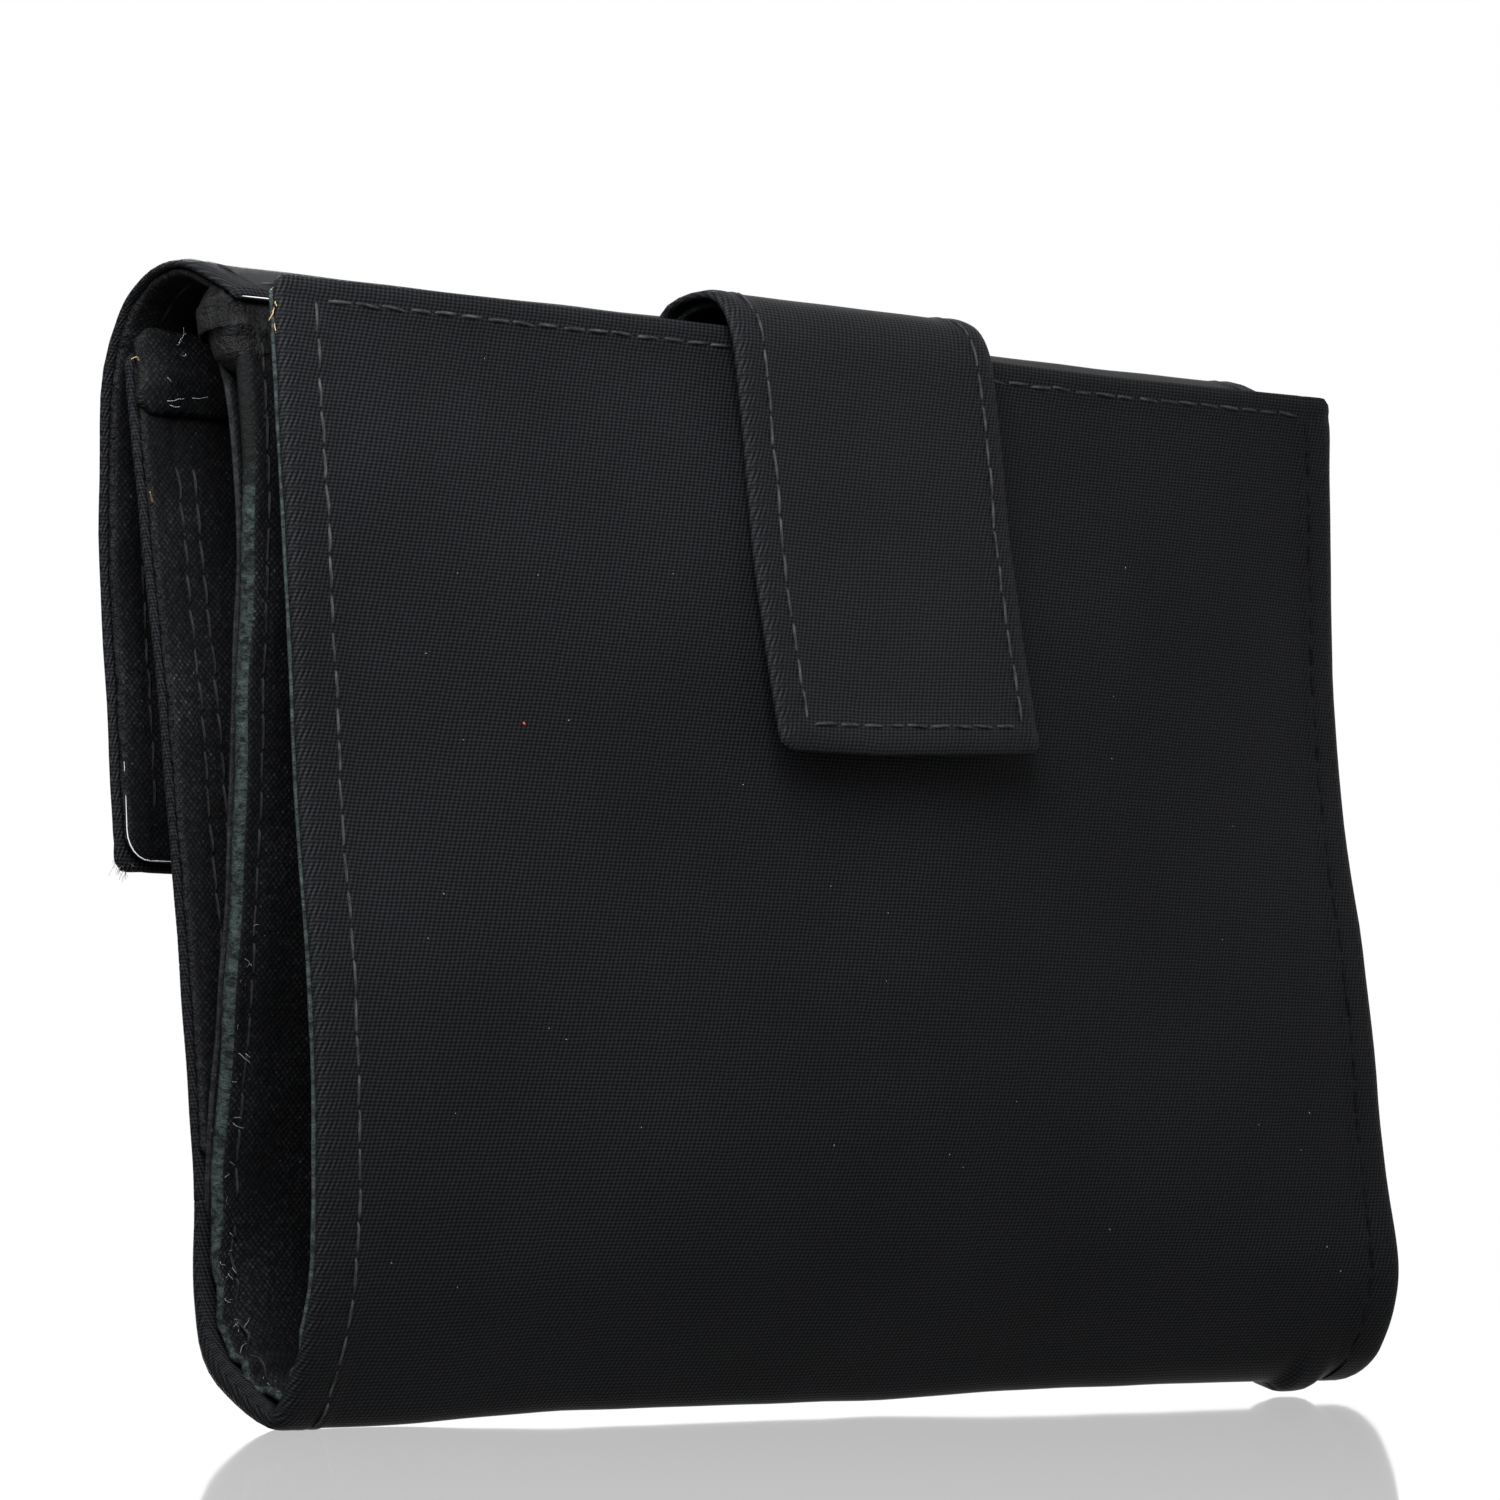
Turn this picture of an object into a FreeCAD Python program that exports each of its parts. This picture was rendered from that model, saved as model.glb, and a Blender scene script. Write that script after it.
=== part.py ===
"""Trifold wallet of nylon cloth and leather, folded shut and standing on its spine.

Frame: millimetres, +X along the wallet's width, +Z up, -Y towards the cover that closes over
the front. The origin is under the middle of the wallet, on the surface it stands on.

The wallet is a stack of leaves seen here in section across X. From front to back: the strap,
the cover, the divider with its card slots, the coin pocket's front and the flap. The cover
and the divider are joined at the bottom by the spine. Strap and flap are sewn to the top of
the divider, and each arches over its neighbour. A leaf is made of layers: nylon outside, a
stiff board, and a leather lining.
"""
import FreeCAD, Part
import os
import re

import Sketcher

SIZES = {
    # widths of the leaves, along X
    "panel_width": 140.0,
    "lining_width": 136.0,
    "divider_width": 137.0,
    "pocket_width": 132.0,
    "slot_width": 118.0,
    "board_width": 131.0,
    "strap_width": 34.0,
    "strap_lining_width": 31.0,
    # thickness of the layers
    "nylon": 0.7,
    "board": 0.9,
    "thin_board": 0.5,
    "leather": 0.8,
    "thin_leather": 0.6,
    # spine: a gutter with a round corner at each side of a flat foot
    "near_y": -6.2,
    "near_bend": 6.0,
    "far_y": -0.4,
    "far_bend": 4.0,
    "seam_angle": 45.0,
    "seam_gap": 2.0,
    "seam_clear": 0.3,
    # cover
    "cover_low_z": 22.0,
    "cover_waist_y": -9.8,
    "cover_waist_z": 58.0,
    "cover_top_y": -6.9,
    "cover_top_z": 94.2,
    "bill_pocket_low_z": 24.0,
    "bill_pocket_top_z": 80.0,
    "bill_pocket_ease": 0.2,
    # divider
    "divider_low_y": -0.6,
    "divider_low_z": 20.0,
    "divider_waist_y": -2.4,
    "divider_waist_z": 45.0,
    "divider_neck_y": -2.6,
    "divider_neck_z": 80.0,
    "divider_top_y": 0.6,
    "divider_top_z": 91.0,
    "binding_z": 87.2,
    # card slots on the divider
    "slot_low_z": 24.0,
    "slot_top_z": 54.0,
    "slot_step": 11.0,
    # coin pocket
    "pocket_seam_z": 14.0,
    "back_wall_top_z": 19.7,
    "coin_low_y": 3.6,
    "coin_low_z": 20.2,
    "coin_waist_y": 7.4,
    "coin_waist_z": 57.0,
    "coin_top_y": 10.6,
    "coin_top_z": 88.0,
    "coin_binding_z": 80.0,
    "gusset_x": 57.0,
    "gusset_sheet": 0.8,
    "gusset_low_z": 34.0,
    "gusset_top_z": 79.5,
    "gusset_ease": 0.3,
    # flap: an arch over the coin pocket and a leaf that hangs down behind it
    "flap_arch_y": 8.45,
    "flap_arch_z": 91.15,
    "flap_arch": 6.15,
    "flap_waist_y": 14.3,
    "flap_waist_z": 72.0,
    "flap_low_y": 12.9,
    "flap_low_z": 46.0,
    # strap: an arch over the cover's top edge and a tongue that hangs down in front of it
    "strap_arch_y": -5.15,
    "strap_arch_z": 91.6,
    "strap_arch": 5.65,
    "strap_low_y": -14.6,
    "strap_low_z": 57.5,
    # press studs
    "stud_flange_r": 5.0,
    "stud_flange": 0.5,
    "stud_post_r": 1.7,
    "stud_neck_r": 1.4,
    "stud_neck_part": 0.5,
    "stud_swell_part": 0.7,
    "stud_crown_part": 0.85,
    "socket_r": 4.4,
    "socket_bore_r": 2.1,
    "socket_wall": 0.4,
    "snap_ease": 0.25,
    "contact": 0.05,
    "flap_snap_z": 58.0,
    "strap_snap_z": 66.5,
}

doc = FreeCAD.newDocument("TrifoldWallet")
sheet = doc.addObject("Spreadsheet::Sheet", "sizes")
for row, (alias, value) in enumerate(SIZES.items(), start=1):
    sheet.set("A%d" % row, alias)
    sheet.set("B%d" % row, str(value))
    sheet.setAlias("B%d" % row, alias)
doc.recompute()

parts = []


def cells(formula):
    """A formula of aliases, with each alias turned into its cell in the sheet."""
    return re.sub(r"[a-z]\w*(?![\w(])", r"sizes.\g<0>", formula)


def worth(formula):
    """What a formula of aliases comes to."""
    return float(sheet.evalExpression(cells(formula)))


def plane(body, role):
    """One of a body's own origin planes."""
    return next(f for f in body.Origin.OriginFeatures if f.Role == role)


def arc_between(start, end, radius):
    """A short arc from start to end. It turns left if the radius is positive, right if negative."""
    chord = end - start
    side = FreeCAD.Vector(-chord.y, chord.x, 0).normalize() * (1 if radius > 0 else -1)
    rise = (radius * radius - chord.Length ** 2 / 4) ** 0.5
    centre = start + chord * 0.5 + side * rise
    return Part.Arc(start, centre - side * abs(radius), end)


def draw(sketch, corners):
    """Closes an outline through corners of (y, z) or (y, z, radius of the arc to the next)."""
    points = [FreeCAD.Vector(worth(c[0]), worth(c[1]), 0) for c in corners]
    joints = []
    for n, corner in enumerate(corners):
        start, end = points[n], points[(n + 1) % len(points)]
        if len(corner) == 2:
            sketch.addGeometry(Part.LineSegment(start, end))
            joints.append((1, 2))
            continue
        turn = worth(corner[2])
        sketch.addGeometry(arc_between(start, end, turn))
        joints.append((1, 2) if turn > 0 else (2, 1))
        arc_size = sketch.addConstraint(Sketcher.Constraint("Radius", n, abs(turn)))
        sign = "" if turn > 0 else "-"
        sketch.setExpression("Constraints[%d]" % arc_size, sign + "(" + cells(corner[2]) + ")")
    for n, corner in enumerate(corners):
        last = n - 1 if n else len(corners) - 1
        sketch.addConstraint(Sketcher.Constraint("Coincident", last, joints[last][1], n, joints[n][0]))
        for kind, formula in (("DistanceX", corner[0]), ("DistanceY", corner[1])):
            place = Sketcher.Constraint(kind, -1, 1, n, joints[n][0], worth(formula))
            sketch.setExpression("Constraints[%d]" % sketch.addConstraint(place), cells(formula))


def new_body(label):
    body = doc.addObject("PartDesign::Body", label)
    body.Label = label
    parts.append(body)
    return body


def new_sketch(body, name, role):
    sketch = body.newObject("Sketcher::SketchObject", name)
    sketch.AttachmentSupport = [(plane(body, role), "")]
    sketch.MapMode = "FlatFace"
    return sketch


def leaf(label, corners, width):
    """One layer: an outline in the YZ plane, padded to both sides along X."""
    body = new_body(label)
    sketch = new_sketch(body, label + "_section", "YZ_Plane")
    draw(sketch, corners)
    pad = body.newObject("PartDesign::Pad", label + "_pad")
    pad.Profile = sketch
    pad.SideType = "Symmetric"
    pad.setExpression("Length", cells(width))
    sketch.Visibility = False
    return body


def band(path, inner, outer):
    """The outline between two offsets of a path, each measured along Y."""
    near = [("%s + %s" % (y, inner), z) for y, z in path]
    far = [("%s + %s" % (y, outer), z) for y, z in reversed(path)]
    return near + far


def along(low, high, z):
    """The Y of a straight run between two (y, z) corners, at height z."""
    rise = "(%s - (%s)) / (%s - (%s))" % (high[0], low[0], high[1], low[1])
    return "%s + %s * (%s - (%s))" % (low[0], rise, z, low[1])


def sector(centre, radius, inner, outer, first, last, turn):
    """A piece of a bent layer, between two offsets inside a bend and between two angles."""
    y, z = centre
    outside = "(%s - (%s))" % (radius, outer)
    inside = "(%s - (%s))" % (radius, inner)

    def on(size, angle):
        return "%s + %s * cos(%s)" % (y, size, angle), "%s + %s * sin(%s)" % (z, size, angle)

    back = "-" if turn == "" else ""
    return [
        (*on(inside, first), turn + inside),
        on(inside, last),
        (*on(outside, last), back + outside),
        on(outside, first),
    ]


# ---- layers of the leaves, as (label, offset of the near face, offset of the far face, width)
COVER_LAYERS = [
    ("nylon", "0", "nylon", "panel_width"),
    ("board", "nylon", "nylon + board", "board_width"),
    ("lining", "nylon + board", "nylon + board + leather", "lining_width"),
]
SPINE_LAYERS = [
    ("nylon", "0", "nylon", "panel_width"),
    ("lining", "nylon", "nylon + leather", "lining_width"),
]


COVER_FACE = [("cover_waist_y", "cover_waist_z"), ("cover_top_y", "cover_top_z")]


def spine_and_back_wall():
    """The gutter under the wallet, and the wall that rises from it to the coin pocket."""
    for kind, inner, outer, width in SPINE_LAYERS:
        near_in, near_out = "(near_bend - (%s))" % inner, "(near_bend - (%s))" % outer
        far_in, far_out = "(far_bend - (%s))" % inner, "(far_bend - (%s))" % outer
        near_cut = "(180 + seam_angle + seam_gap)"
        far_cut = "(360 - seam_angle - seam_gap)"

        def near(size, angle):
            return "near_y + %s * cos(%s)" % (size, angle), "near_bend + %s * sin(%s)" % (size, angle)

        def far(size, angle):
            return "far_y + %s * cos(%s)" % (size, angle), "far_bend + %s * sin(%s)" % (size, angle)

        leaf(
            "spine_" + kind,
            [
                (*near(near_in, near_cut), near_in),
                ("near_y", inner),
                ("far_y", inner, far_in),
                far(far_in, far_cut),
                (*far(far_out, far_cut), "-" + far_out),
                ("far_y", outer),
                ("near_y", outer, "-" + near_out),
                near(near_out, near_cut),
            ],
            width,
        )
        wall_cut = "(360 - seam_angle + seam_gap)"
        leaf(
            "back_wall_" + kind,
            [
                (*far(far_in, wall_cut), far_in),
                ("far_y + " + far_in, "far_bend"),
                ("far_y + " + far_in, "back_wall_top_z"),
                ("far_y + " + far_out, "back_wall_top_z"),
                ("far_y + " + far_out, "far_bend", "-" + far_out),
                far(far_out, wall_cut),
            ],
            width,
        )


def cover():
    """The front leaf, from the spine's near seam to its free top edge, with its bill pocket."""
    for kind, inner, outer, width in COVER_LAYERS:
        bend_in, bend_out = "(near_bend - (%s))" % inner, "(near_bend - (%s))" % outer
        cut = "(180 + seam_angle - seam_gap)"
        leaf(
            "cover_" + kind,
            [
                ("cover_top_y + " + inner, "cover_top_z"),
                ("cover_waist_y + " + inner, "cover_waist_z"),
                ("near_y - " + bend_in, "cover_low_z"),
                ("near_y - " + bend_in, "near_bend", bend_in),
                ("near_y + %s * cos(%s)" % (bend_in, cut), "near_bend + %s * sin(%s)" % (bend_in, cut)),
                (
                    "near_y + %s * cos(%s)" % (bend_out, cut),
                    "near_bend + %s * sin(%s)" % (bend_out, cut),
                    "-" + bend_out,
                ),
                ("near_y - " + bend_out, "near_bend"),
                ("near_y - " + bend_out, "cover_low_z"),
                ("cover_waist_y + " + outer, "cover_waist_z"),
                ("cover_top_y + " + outer, "cover_top_z"),
            ],
            width,
        )
    depth = "nylon + board + leather + bill_pocket_ease"
    cover_low = ("near_y - near_bend", "cover_low_z")
    path = [
        (along(cover_low, COVER_FACE[0], "bill_pocket_low_z"), "bill_pocket_low_z"),
        COVER_FACE[0],
        (along(*COVER_FACE, "bill_pocket_top_z"), "bill_pocket_top_z"),
    ]
    leaf("bill_pocket", band(path, depth, depth + " + leather"), "pocket_width")


DIVIDER_PATH = [
    ("divider_low_y", "divider_low_z"),
    ("divider_waist_y", "divider_waist_z"),
    ("divider_neck_y", "divider_neck_z"),
    ("divider_top_y", "divider_top_z"),
]


def divider():
    """The middle leaf that everything is sewn to, with its top binding and its card slots."""
    board_far = "leather + thin_board"
    leaf("divider_lining", band(DIVIDER_PATH, "0", "leather"), "divider_width")
    leaf("divider_board", band(DIVIDER_PATH, "leather", board_far), "board_width")
    leaf("coin_pocket_back", band(DIVIDER_PATH, board_far, board_far + " + thin_leather"), "divider_width")
    top = [(along(*DIVIDER_PATH[2:], "binding_z"), "binding_z"), DIVIDER_PATH[3]]
    leaf("divider_top_binding", band(top, "-nylon", "0"), "panel_width")
    seam = [
        ("divider_low_y", "pocket_seam_z"),
        ("divider_low_y", "divider_low_z"),
        ("far_y + far_bend - nylon - leather", "divider_low_z - seam_clear"),
        ("far_y + far_bend - nylon - leather", "pocket_seam_z"),
    ]
    leaf("pocket_seam", list(reversed(seam)), "divider_width")
    for n in range(3):
        top_z = "slot_top_z + %d * slot_step" % (2 - n)
        path = [
            (along(*DIVIDER_PATH[:2], "slot_low_z"), "slot_low_z"),
            DIVIDER_PATH[1],
            (along(*DIVIDER_PATH[1:3], top_z), top_z),
        ]
        near = "%d * -thin_leather" % (n + 1)
        far = "%d * -thin_leather" % n
        leaf("card_slot_%d" % (n + 1), band(path, near, far), "slot_width")


COIN_PATH = [
    ("coin_low_y", "coin_low_z"),
    ("coin_waist_y", "coin_waist_z"),
    ("coin_top_y", "coin_top_z"),
]


def coin_pocket():
    """The pocket's front leaf, its turned binding and the gussets that close its ends."""
    board_in = "-(nylon + thin_board)"
    inside = "-(nylon + thin_board + thin_leather)"
    leaf("coin_front_nylon", band(COIN_PATH, "-nylon", "0"), "panel_width")
    leaf("coin_front_board", band(COIN_PATH, board_in, "-nylon"), "board_width")
    leaf("coin_front_lining", band(COIN_PATH, inside, board_in), "lining_width")
    rim = [(along(*COIN_PATH[1:], "coin_binding_z"), "coin_binding_z"), COIN_PATH[2]]
    leaf("coin_front_binding", band(rim, inside + " - thin_leather", inside), "lining_width")
    near = " + leather + thin_board + thin_leather + gusset_ease"
    far = " - (nylon + thin_board + thin_leather + gusset_ease)"
    gusset = [
        (along(*COIN_PATH[:2], "gusset_low_z") + far, "gusset_low_z"),
        ("coin_waist_y" + far, "coin_waist_z"),
        (along(*COIN_PATH[1:], "gusset_top_z") + far, "gusset_top_z"),
        (along(*DIVIDER_PATH[1:3], "gusset_top_z") + near, "gusset_top_z"),
        ("divider_waist_y" + near, "divider_waist_z"),
        (along(*DIVIDER_PATH[:2], "gusset_low_z") + near, "gusset_low_z"),
    ]
    for side, sign in (("left", -1), ("right", 1)):
        body = leaf("coin_gusset_" + side, gusset, "gusset_sheet")
        body.setExpression("Placement.Base.x", cells("%d * gusset_x" % sign))


def arched_leaf(name, side, arch, leg, layers):
    """A leaf that leaves the divider's top as an arch: its root, its fold and its hanging part.

    side is 1 where the leaf hangs behind the divider and -1 where it hangs in front.
    """
    centre = (arch + "_arch_y", arch + "_arch_z")
    radius = arch + "_arch"
    if side > 0:
        spans = {
            "root": ("180", "(180 - seam_angle + seam_gap)"),
            "fold": ("(180 - seam_angle - seam_gap)", "(seam_angle + seam_gap)"),
        }
        end_cut, end, turn = "(seam_angle - seam_gap)", "0", "-"
    else:
        spans = {
            "root": ("0", "(seam_angle - seam_gap)"),
            "fold": ("(seam_angle + seam_gap)", "(180 - seam_angle - seam_gap)"),
        }
        end_cut, end, turn = "(180 - seam_angle + seam_gap)", "180", ""
    for kind, inner, outer, width, whole in layers:
        if whole:
            for part, (first, last) in spans.items():
                outline = sector(centre, radius, inner, outer, first, last, turn)
                leaf("%s_%s_%s" % (name, part, kind), outline, width)
        outline = sector(centre, radius, inner, outer, end_cut, end, turn)
        sign = "-" if side > 0 else "+"
        outer_leg = [("%s %s (%s)" % (y, sign, inner), z) for y, z in leg]
        inner_leg = [("%s %s (%s)" % (y, sign, outer), z) for y, z in reversed(leg)]
        first_arc, arc_end, second_arc, close = outline
        leaf(
            "%s_%s" % (name, kind),
            [first_arc, arc_end, *outer_leg, *inner_leg, second_arc, close],
            width,
        )


def flap():
    leg = [("flap_waist_y", "flap_waist_z"), ("flap_low_y", "flap_low_z")]
    layers = [
        ("nylon", "0", "nylon", "panel_width", True),
        ("board", "nylon", "nylon + thin_board", "board_width", False),
        ("lining", "nylon + thin_board", "nylon + thin_board + thin_leather", "lining_width", True),
    ]
    arched_leaf("flap", 1, "flap", leg, layers)


def strap():
    leg = [("strap_low_y", "strap_low_z")]
    layers = [
        ("nylon", "0", "nylon", "strap_width", True),
        ("core", "nylon", "nylon + thin_board", "strap_lining_width", False),
        ("lining", "nylon + thin_board", "nylon + thin_board + leather", "strap_lining_width", True),
    ]
    arched_leaf("strap", -1, "strap", leg, layers)


def turned(label, outline, place, lean, facing):
    """A round piece turned about its own axis, then set square to a leaf that leans."""
    body = new_body(label)
    sketch = new_sketch(body, label + "_profile", "XY_Plane")
    draw(sketch, outline)
    turn = body.newObject("PartDesign::Revolution", label + "_turn")
    turn.Profile = sketch
    turn.ReferenceAxis = (sketch, ["V_Axis"])
    turn.Angle = 360
    y, z = place
    start = "0 deg" if facing > 0 else "180 deg"
    body.Placement.Rotation = FreeCAD.Rotation(FreeCAD.Vector(1, 0, 0), 1)
    body.setExpression("Placement.Rotation.Angle", "%s - %s" % (start, cells(lean)))
    body.setExpression("Placement.Base.y", cells(y))
    body.setExpression("Placement.Base.z", cells(z))
    return body


def stud(label, place, lean, facing, post):
    """A flange on the leaf's face and a waisted post that the socket grips."""
    outline = [
        ("0", "0"),
        ("stud_flange_r", "0"),
        ("stud_flange_r", "stud_flange"),
        ("stud_neck_r", "stud_flange"),
        ("stud_neck_r", "stud_flange + %s * stud_neck_part" % post),
        ("stud_post_r", "stud_flange + %s * stud_swell_part" % post),
        ("stud_post_r", "stud_flange + %s * stud_crown_part" % post),
        ("stud_neck_r", "stud_flange + " + post),
        ("0", "stud_flange + " + post),
    ]
    return turned(label, outline, place, lean, facing)


def socket(label, place, lean, facing, height):
    """A cup, open towards the stud, that sits in a hole in the leaf's lining."""
    outline = [
        ("0", "0"),
        ("socket_r", "0"),
        ("socket_r", height),
        ("socket_bore_r", height),
        ("socket_bore_r", "socket_wall"),
        ("0", "socket_wall"),
    ]
    return turned(label, outline, place, lean, facing)


def hole_through(label, z, radius):
    """A round hole along Y through a layer that is already padded."""
    body = next(b for b in parts if b.Label == label)
    sketch = new_sketch(body, label + "_hole_sketch", "XZ_Plane")
    circle = Part.Circle(FreeCAD.Vector(0, worth(z), 0), FreeCAD.Vector(0, 0, 1), worth(radius))
    sketch.addGeometry(circle)
    for kind, formula in (("DistanceX", "0 * nylon"), ("DistanceY", z)):
        place = Sketcher.Constraint(kind, -1, 1, 0, 3, worth(formula))
        sketch.setExpression("Constraints[%d]" % sketch.addConstraint(place), cells(formula))
    size = sketch.addConstraint(Sketcher.Constraint("Radius", 0, worth(radius)))
    sketch.setExpression("Constraints[%d]" % size, cells(radius))
    doc.recompute()
    before = body.Shape.Volume
    pocket = body.newObject("PartDesign::Pocket", label + "_hole")
    pocket.Profile = sketch
    pocket.Type = "ThroughAll"
    pocket.SideType = "Symmetric"
    doc.recompute()
    if body.Shape.Volume >= before:
        raise RuntimeError(label + ": the hole cut nothing")


def lean_of(low, high):
    """How far a run leans back from upright."""
    return "atan((%s - (%s)) / (%s - %s))" % (high[0], low[0], high[1], low[1])


def snap(name, face, leaf_run, z, facing, board):
    """A press stud on one leaf's face and its socket in the leaf that closes over it."""
    face_y = along(*face, z)
    sign = "-" if facing > 0 else "+"
    board_y = "(%s %s (%s + contact))" % (along(*leaf_run, z), sign, board)
    gap = "(%s - (%s))" % ((board_y, face_y) if facing > 0 else (face_y, board_y))
    face_place = "%s %s contact" % (face_y, "+" if facing > 0 else "-")
    post = "(%s * 0.5)" % gap
    height = "(%s - stud_flange - 2 * contact - snap_ease)" % gap
    stud(name + "_snap_stud", (face_place, z), lean_of(*face), facing, post)
    socket(name + "_snap_socket", (board_y, z), lean_of(*leaf_run), -facing, height)
    hole_through(name + "_lining", z, "socket_r + snap_ease")


def press_studs():
    """One snap shuts the flap on the coin pocket, and one shuts the strap on the cover."""
    flap_run = (("flap_low_y", "flap_low_z"), ("flap_waist_y", "flap_waist_z"))
    snap("flap", COIN_PATH[1:], flap_run, "flap_snap_z", 1, "nylon + thin_board")
    strap_run = (("strap_low_y", "strap_low_z"), ("strap_arch_y - strap_arch", "strap_arch_z"))
    snap("strap", COVER_FACE, strap_run, "strap_snap_z", -1, "nylon + thin_board")


spine_and_back_wall()
cover()
divider()
coin_pocket()
flap()
strap()
doc.recompute()
press_studs()
doc.recompute()

failed = [o.Name for o in doc.Objects if "Invalid" in o.State or "Error" in o.State]
if failed:
    raise RuntimeError("these objects failed: " + ", ".join(failed))
for body in parts:
    if body.Shape.isNull() or not body.Shape.isValid():
        raise RuntimeError(body.Label + " has no valid shape")

os.makedirs("parts", exist_ok=True)
for body in parts:
    body.Shape.exportStep("parts/%s.step" % body.Label)
    box = body.Shape.BoundBox
    print(
        "%-22s %8.1f mm3  y %6.2f..%6.2f  z %6.2f..%6.2f  solids %d"
        % (body.Label, body.Shape.Volume, box.YMin, box.YMax, box.ZMin, box.ZMax, len(body.Shape.Solids))
    )
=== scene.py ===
"""The looks of a trifold wallet: black twill nylon lined with cross-grained leather.

Shapes are worked out in millimetres and made in metres. A leaf is a thin closed shell that
follows a profile (a smooth line in the YZ plane) and runs along X. It is described by a
place function: place(x, s) gives the points at x across the wallet and s along the profile.
"""

import math
import random

import bpy
import numpy as np
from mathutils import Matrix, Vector


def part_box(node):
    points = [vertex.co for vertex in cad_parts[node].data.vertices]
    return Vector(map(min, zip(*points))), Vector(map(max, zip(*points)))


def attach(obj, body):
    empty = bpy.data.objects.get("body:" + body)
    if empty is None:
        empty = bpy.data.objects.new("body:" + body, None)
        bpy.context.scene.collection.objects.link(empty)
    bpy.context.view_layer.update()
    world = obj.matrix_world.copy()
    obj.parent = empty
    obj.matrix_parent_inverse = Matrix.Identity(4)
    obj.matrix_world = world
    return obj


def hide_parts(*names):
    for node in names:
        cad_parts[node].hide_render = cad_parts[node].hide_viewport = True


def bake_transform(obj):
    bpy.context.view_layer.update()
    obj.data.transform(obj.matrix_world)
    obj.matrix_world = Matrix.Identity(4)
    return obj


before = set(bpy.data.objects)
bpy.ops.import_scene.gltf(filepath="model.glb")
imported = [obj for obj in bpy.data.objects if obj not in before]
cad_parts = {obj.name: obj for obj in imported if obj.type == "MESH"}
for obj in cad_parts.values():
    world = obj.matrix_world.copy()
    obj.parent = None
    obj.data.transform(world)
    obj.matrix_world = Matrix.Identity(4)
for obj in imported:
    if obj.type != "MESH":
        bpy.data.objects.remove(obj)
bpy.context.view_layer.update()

MM = 0.001
UV_SCALE = 0.1


# ---- sizes, in millimetres
def box_mm(node):
    """A CAD node's lowest and highest corners in millimetres."""
    low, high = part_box(node)
    return low / MM, high / MM


HALF = box_mm("cover_nylon")[1].x
LINING_HALF = HALF - 0.15
DIVIDER_HALF = box_mm("divider_lining")[1].x
SLOT_HALF = box_mm("card_slot_1")[1].x
BILL_HALF = box_mm("bill_pocket")[1].x
BOARD_HALF = box_mm("cover_board")[1].x
STRAP_HALF = box_mm("strap_nylon")[1].x
STRAP_LINING_HALF = box_mm("strap_lining")[1].x
COVER_TOP = box_mm("cover_nylon")[1].z
FLAP_LOW = box_mm("flap_nylon")[0].z
STRAP_LOW = box_mm("strap_nylon")[0].z

STITCH_PITCH = 3.07
HEM = 4.3
TOP_HEM = 1.8


# ---- lines and surfaces
class Profile:
    """A smooth line through a few (y, z) points, measured along its length."""

    STEPS = 24

    def __init__(self, points):
        pts = np.array([points[0], *points, points[-1]], float)
        pts[0] += pts[0] - pts[2]
        pts[-1] += pts[-1] - pts[-3]
        t = np.linspace(0, 1, self.STEPS, endpoint=False)[:, None]
        spans = []
        for a, b, c, d in zip(pts, pts[1:], pts[2:], pts[3:]):
            spans.append(
                b + 0.5 * t * (c - a + t * (2 * a - 5 * b + 4 * c - d + t * (3 * (b - c) + d - a)))
            )
        line = np.vstack([*spans, pts[-2]])
        self.y, self.z = line.T
        self.s = np.concatenate([[0], np.cumsum(np.hypot(np.diff(self.y), np.diff(self.z)))])
        self.length = self.s[-1]

    def at(self, s):
        """y and z at each s, running on straight past both ends."""
        y, z = np.interp(s, self.s, self.y), np.interp(s, self.s, self.z)
        for over, i, j in ((np.minimum(s, 0), 0, 1), (np.maximum(s - self.length, 0), -2, -1)):
            step = self.s[j] - self.s[i]
            y = y + over * (self.y[j] - self.y[i]) / step
            z = z + over * (self.z[j] - self.z[i]) / step
        return y, z

    def near(self, y, z):
        """The s of the line's nearest point to (y, z)."""
        return float(self.s[np.argmin((self.y - y) ** 2 + (self.z - z) ** 2)])


def smooth(t):
    t = np.clip(t, 0, 1)
    return t * t * (3 - 2 * t)


def hill(t, middle, width):
    """1 at middle, and near 0 from two widths away."""
    return np.exp(-(((t - middle) / width) ** 2))


def ripple(x, s, size, seed):
    """Uneven waves about size long, from -1 to 1, the same each run."""
    draw = random.Random(seed)
    total = 0
    for _ in range(6):
        turn = draw.uniform(0, math.tau)
        stretch = draw.uniform(0.6, 1.6)
        shift = draw.uniform(0, math.tau)
        total = total + np.sin(
            math.tau * stretch / size * (x * math.cos(turn) + s * math.sin(turn)) + shift
        )
    return total / 3.5


class Face:
    """One side of a leaf: its points, and the normals that point out of it."""

    PROBE = 0.15

    def __init__(self, place, side, relief=None):
        self.place, self.side = place, side
        self.relief = relief or (lambda x, s: 0 * x)

    def normal(self, x, s):
        across = self.place(x + self.PROBE, s) - self.place(x - self.PROBE, s)
        along = self.place(x, s + self.PROBE) - self.place(x, s - self.PROBE)
        n = np.cross(across, along) * self.side
        return n / np.linalg.norm(n, axis=-1, keepdims=True)

    def point(self, x, s, depth):
        """The point at a depth below the plain face, without its relief."""
        x, s = np.asarray(x, float), np.asarray(s, float)
        return self.place(x, s) - self.normal(x, s) * depth

    def top(self, x, s, lift=0.0):
        """The surface with its relief, raised by lift."""
        x, s = np.asarray(x, float), np.asarray(s, float)
        return self.place(x, s) + self.normal(x, s) * (self.relief(x, s) + lift)[..., None]


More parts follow.
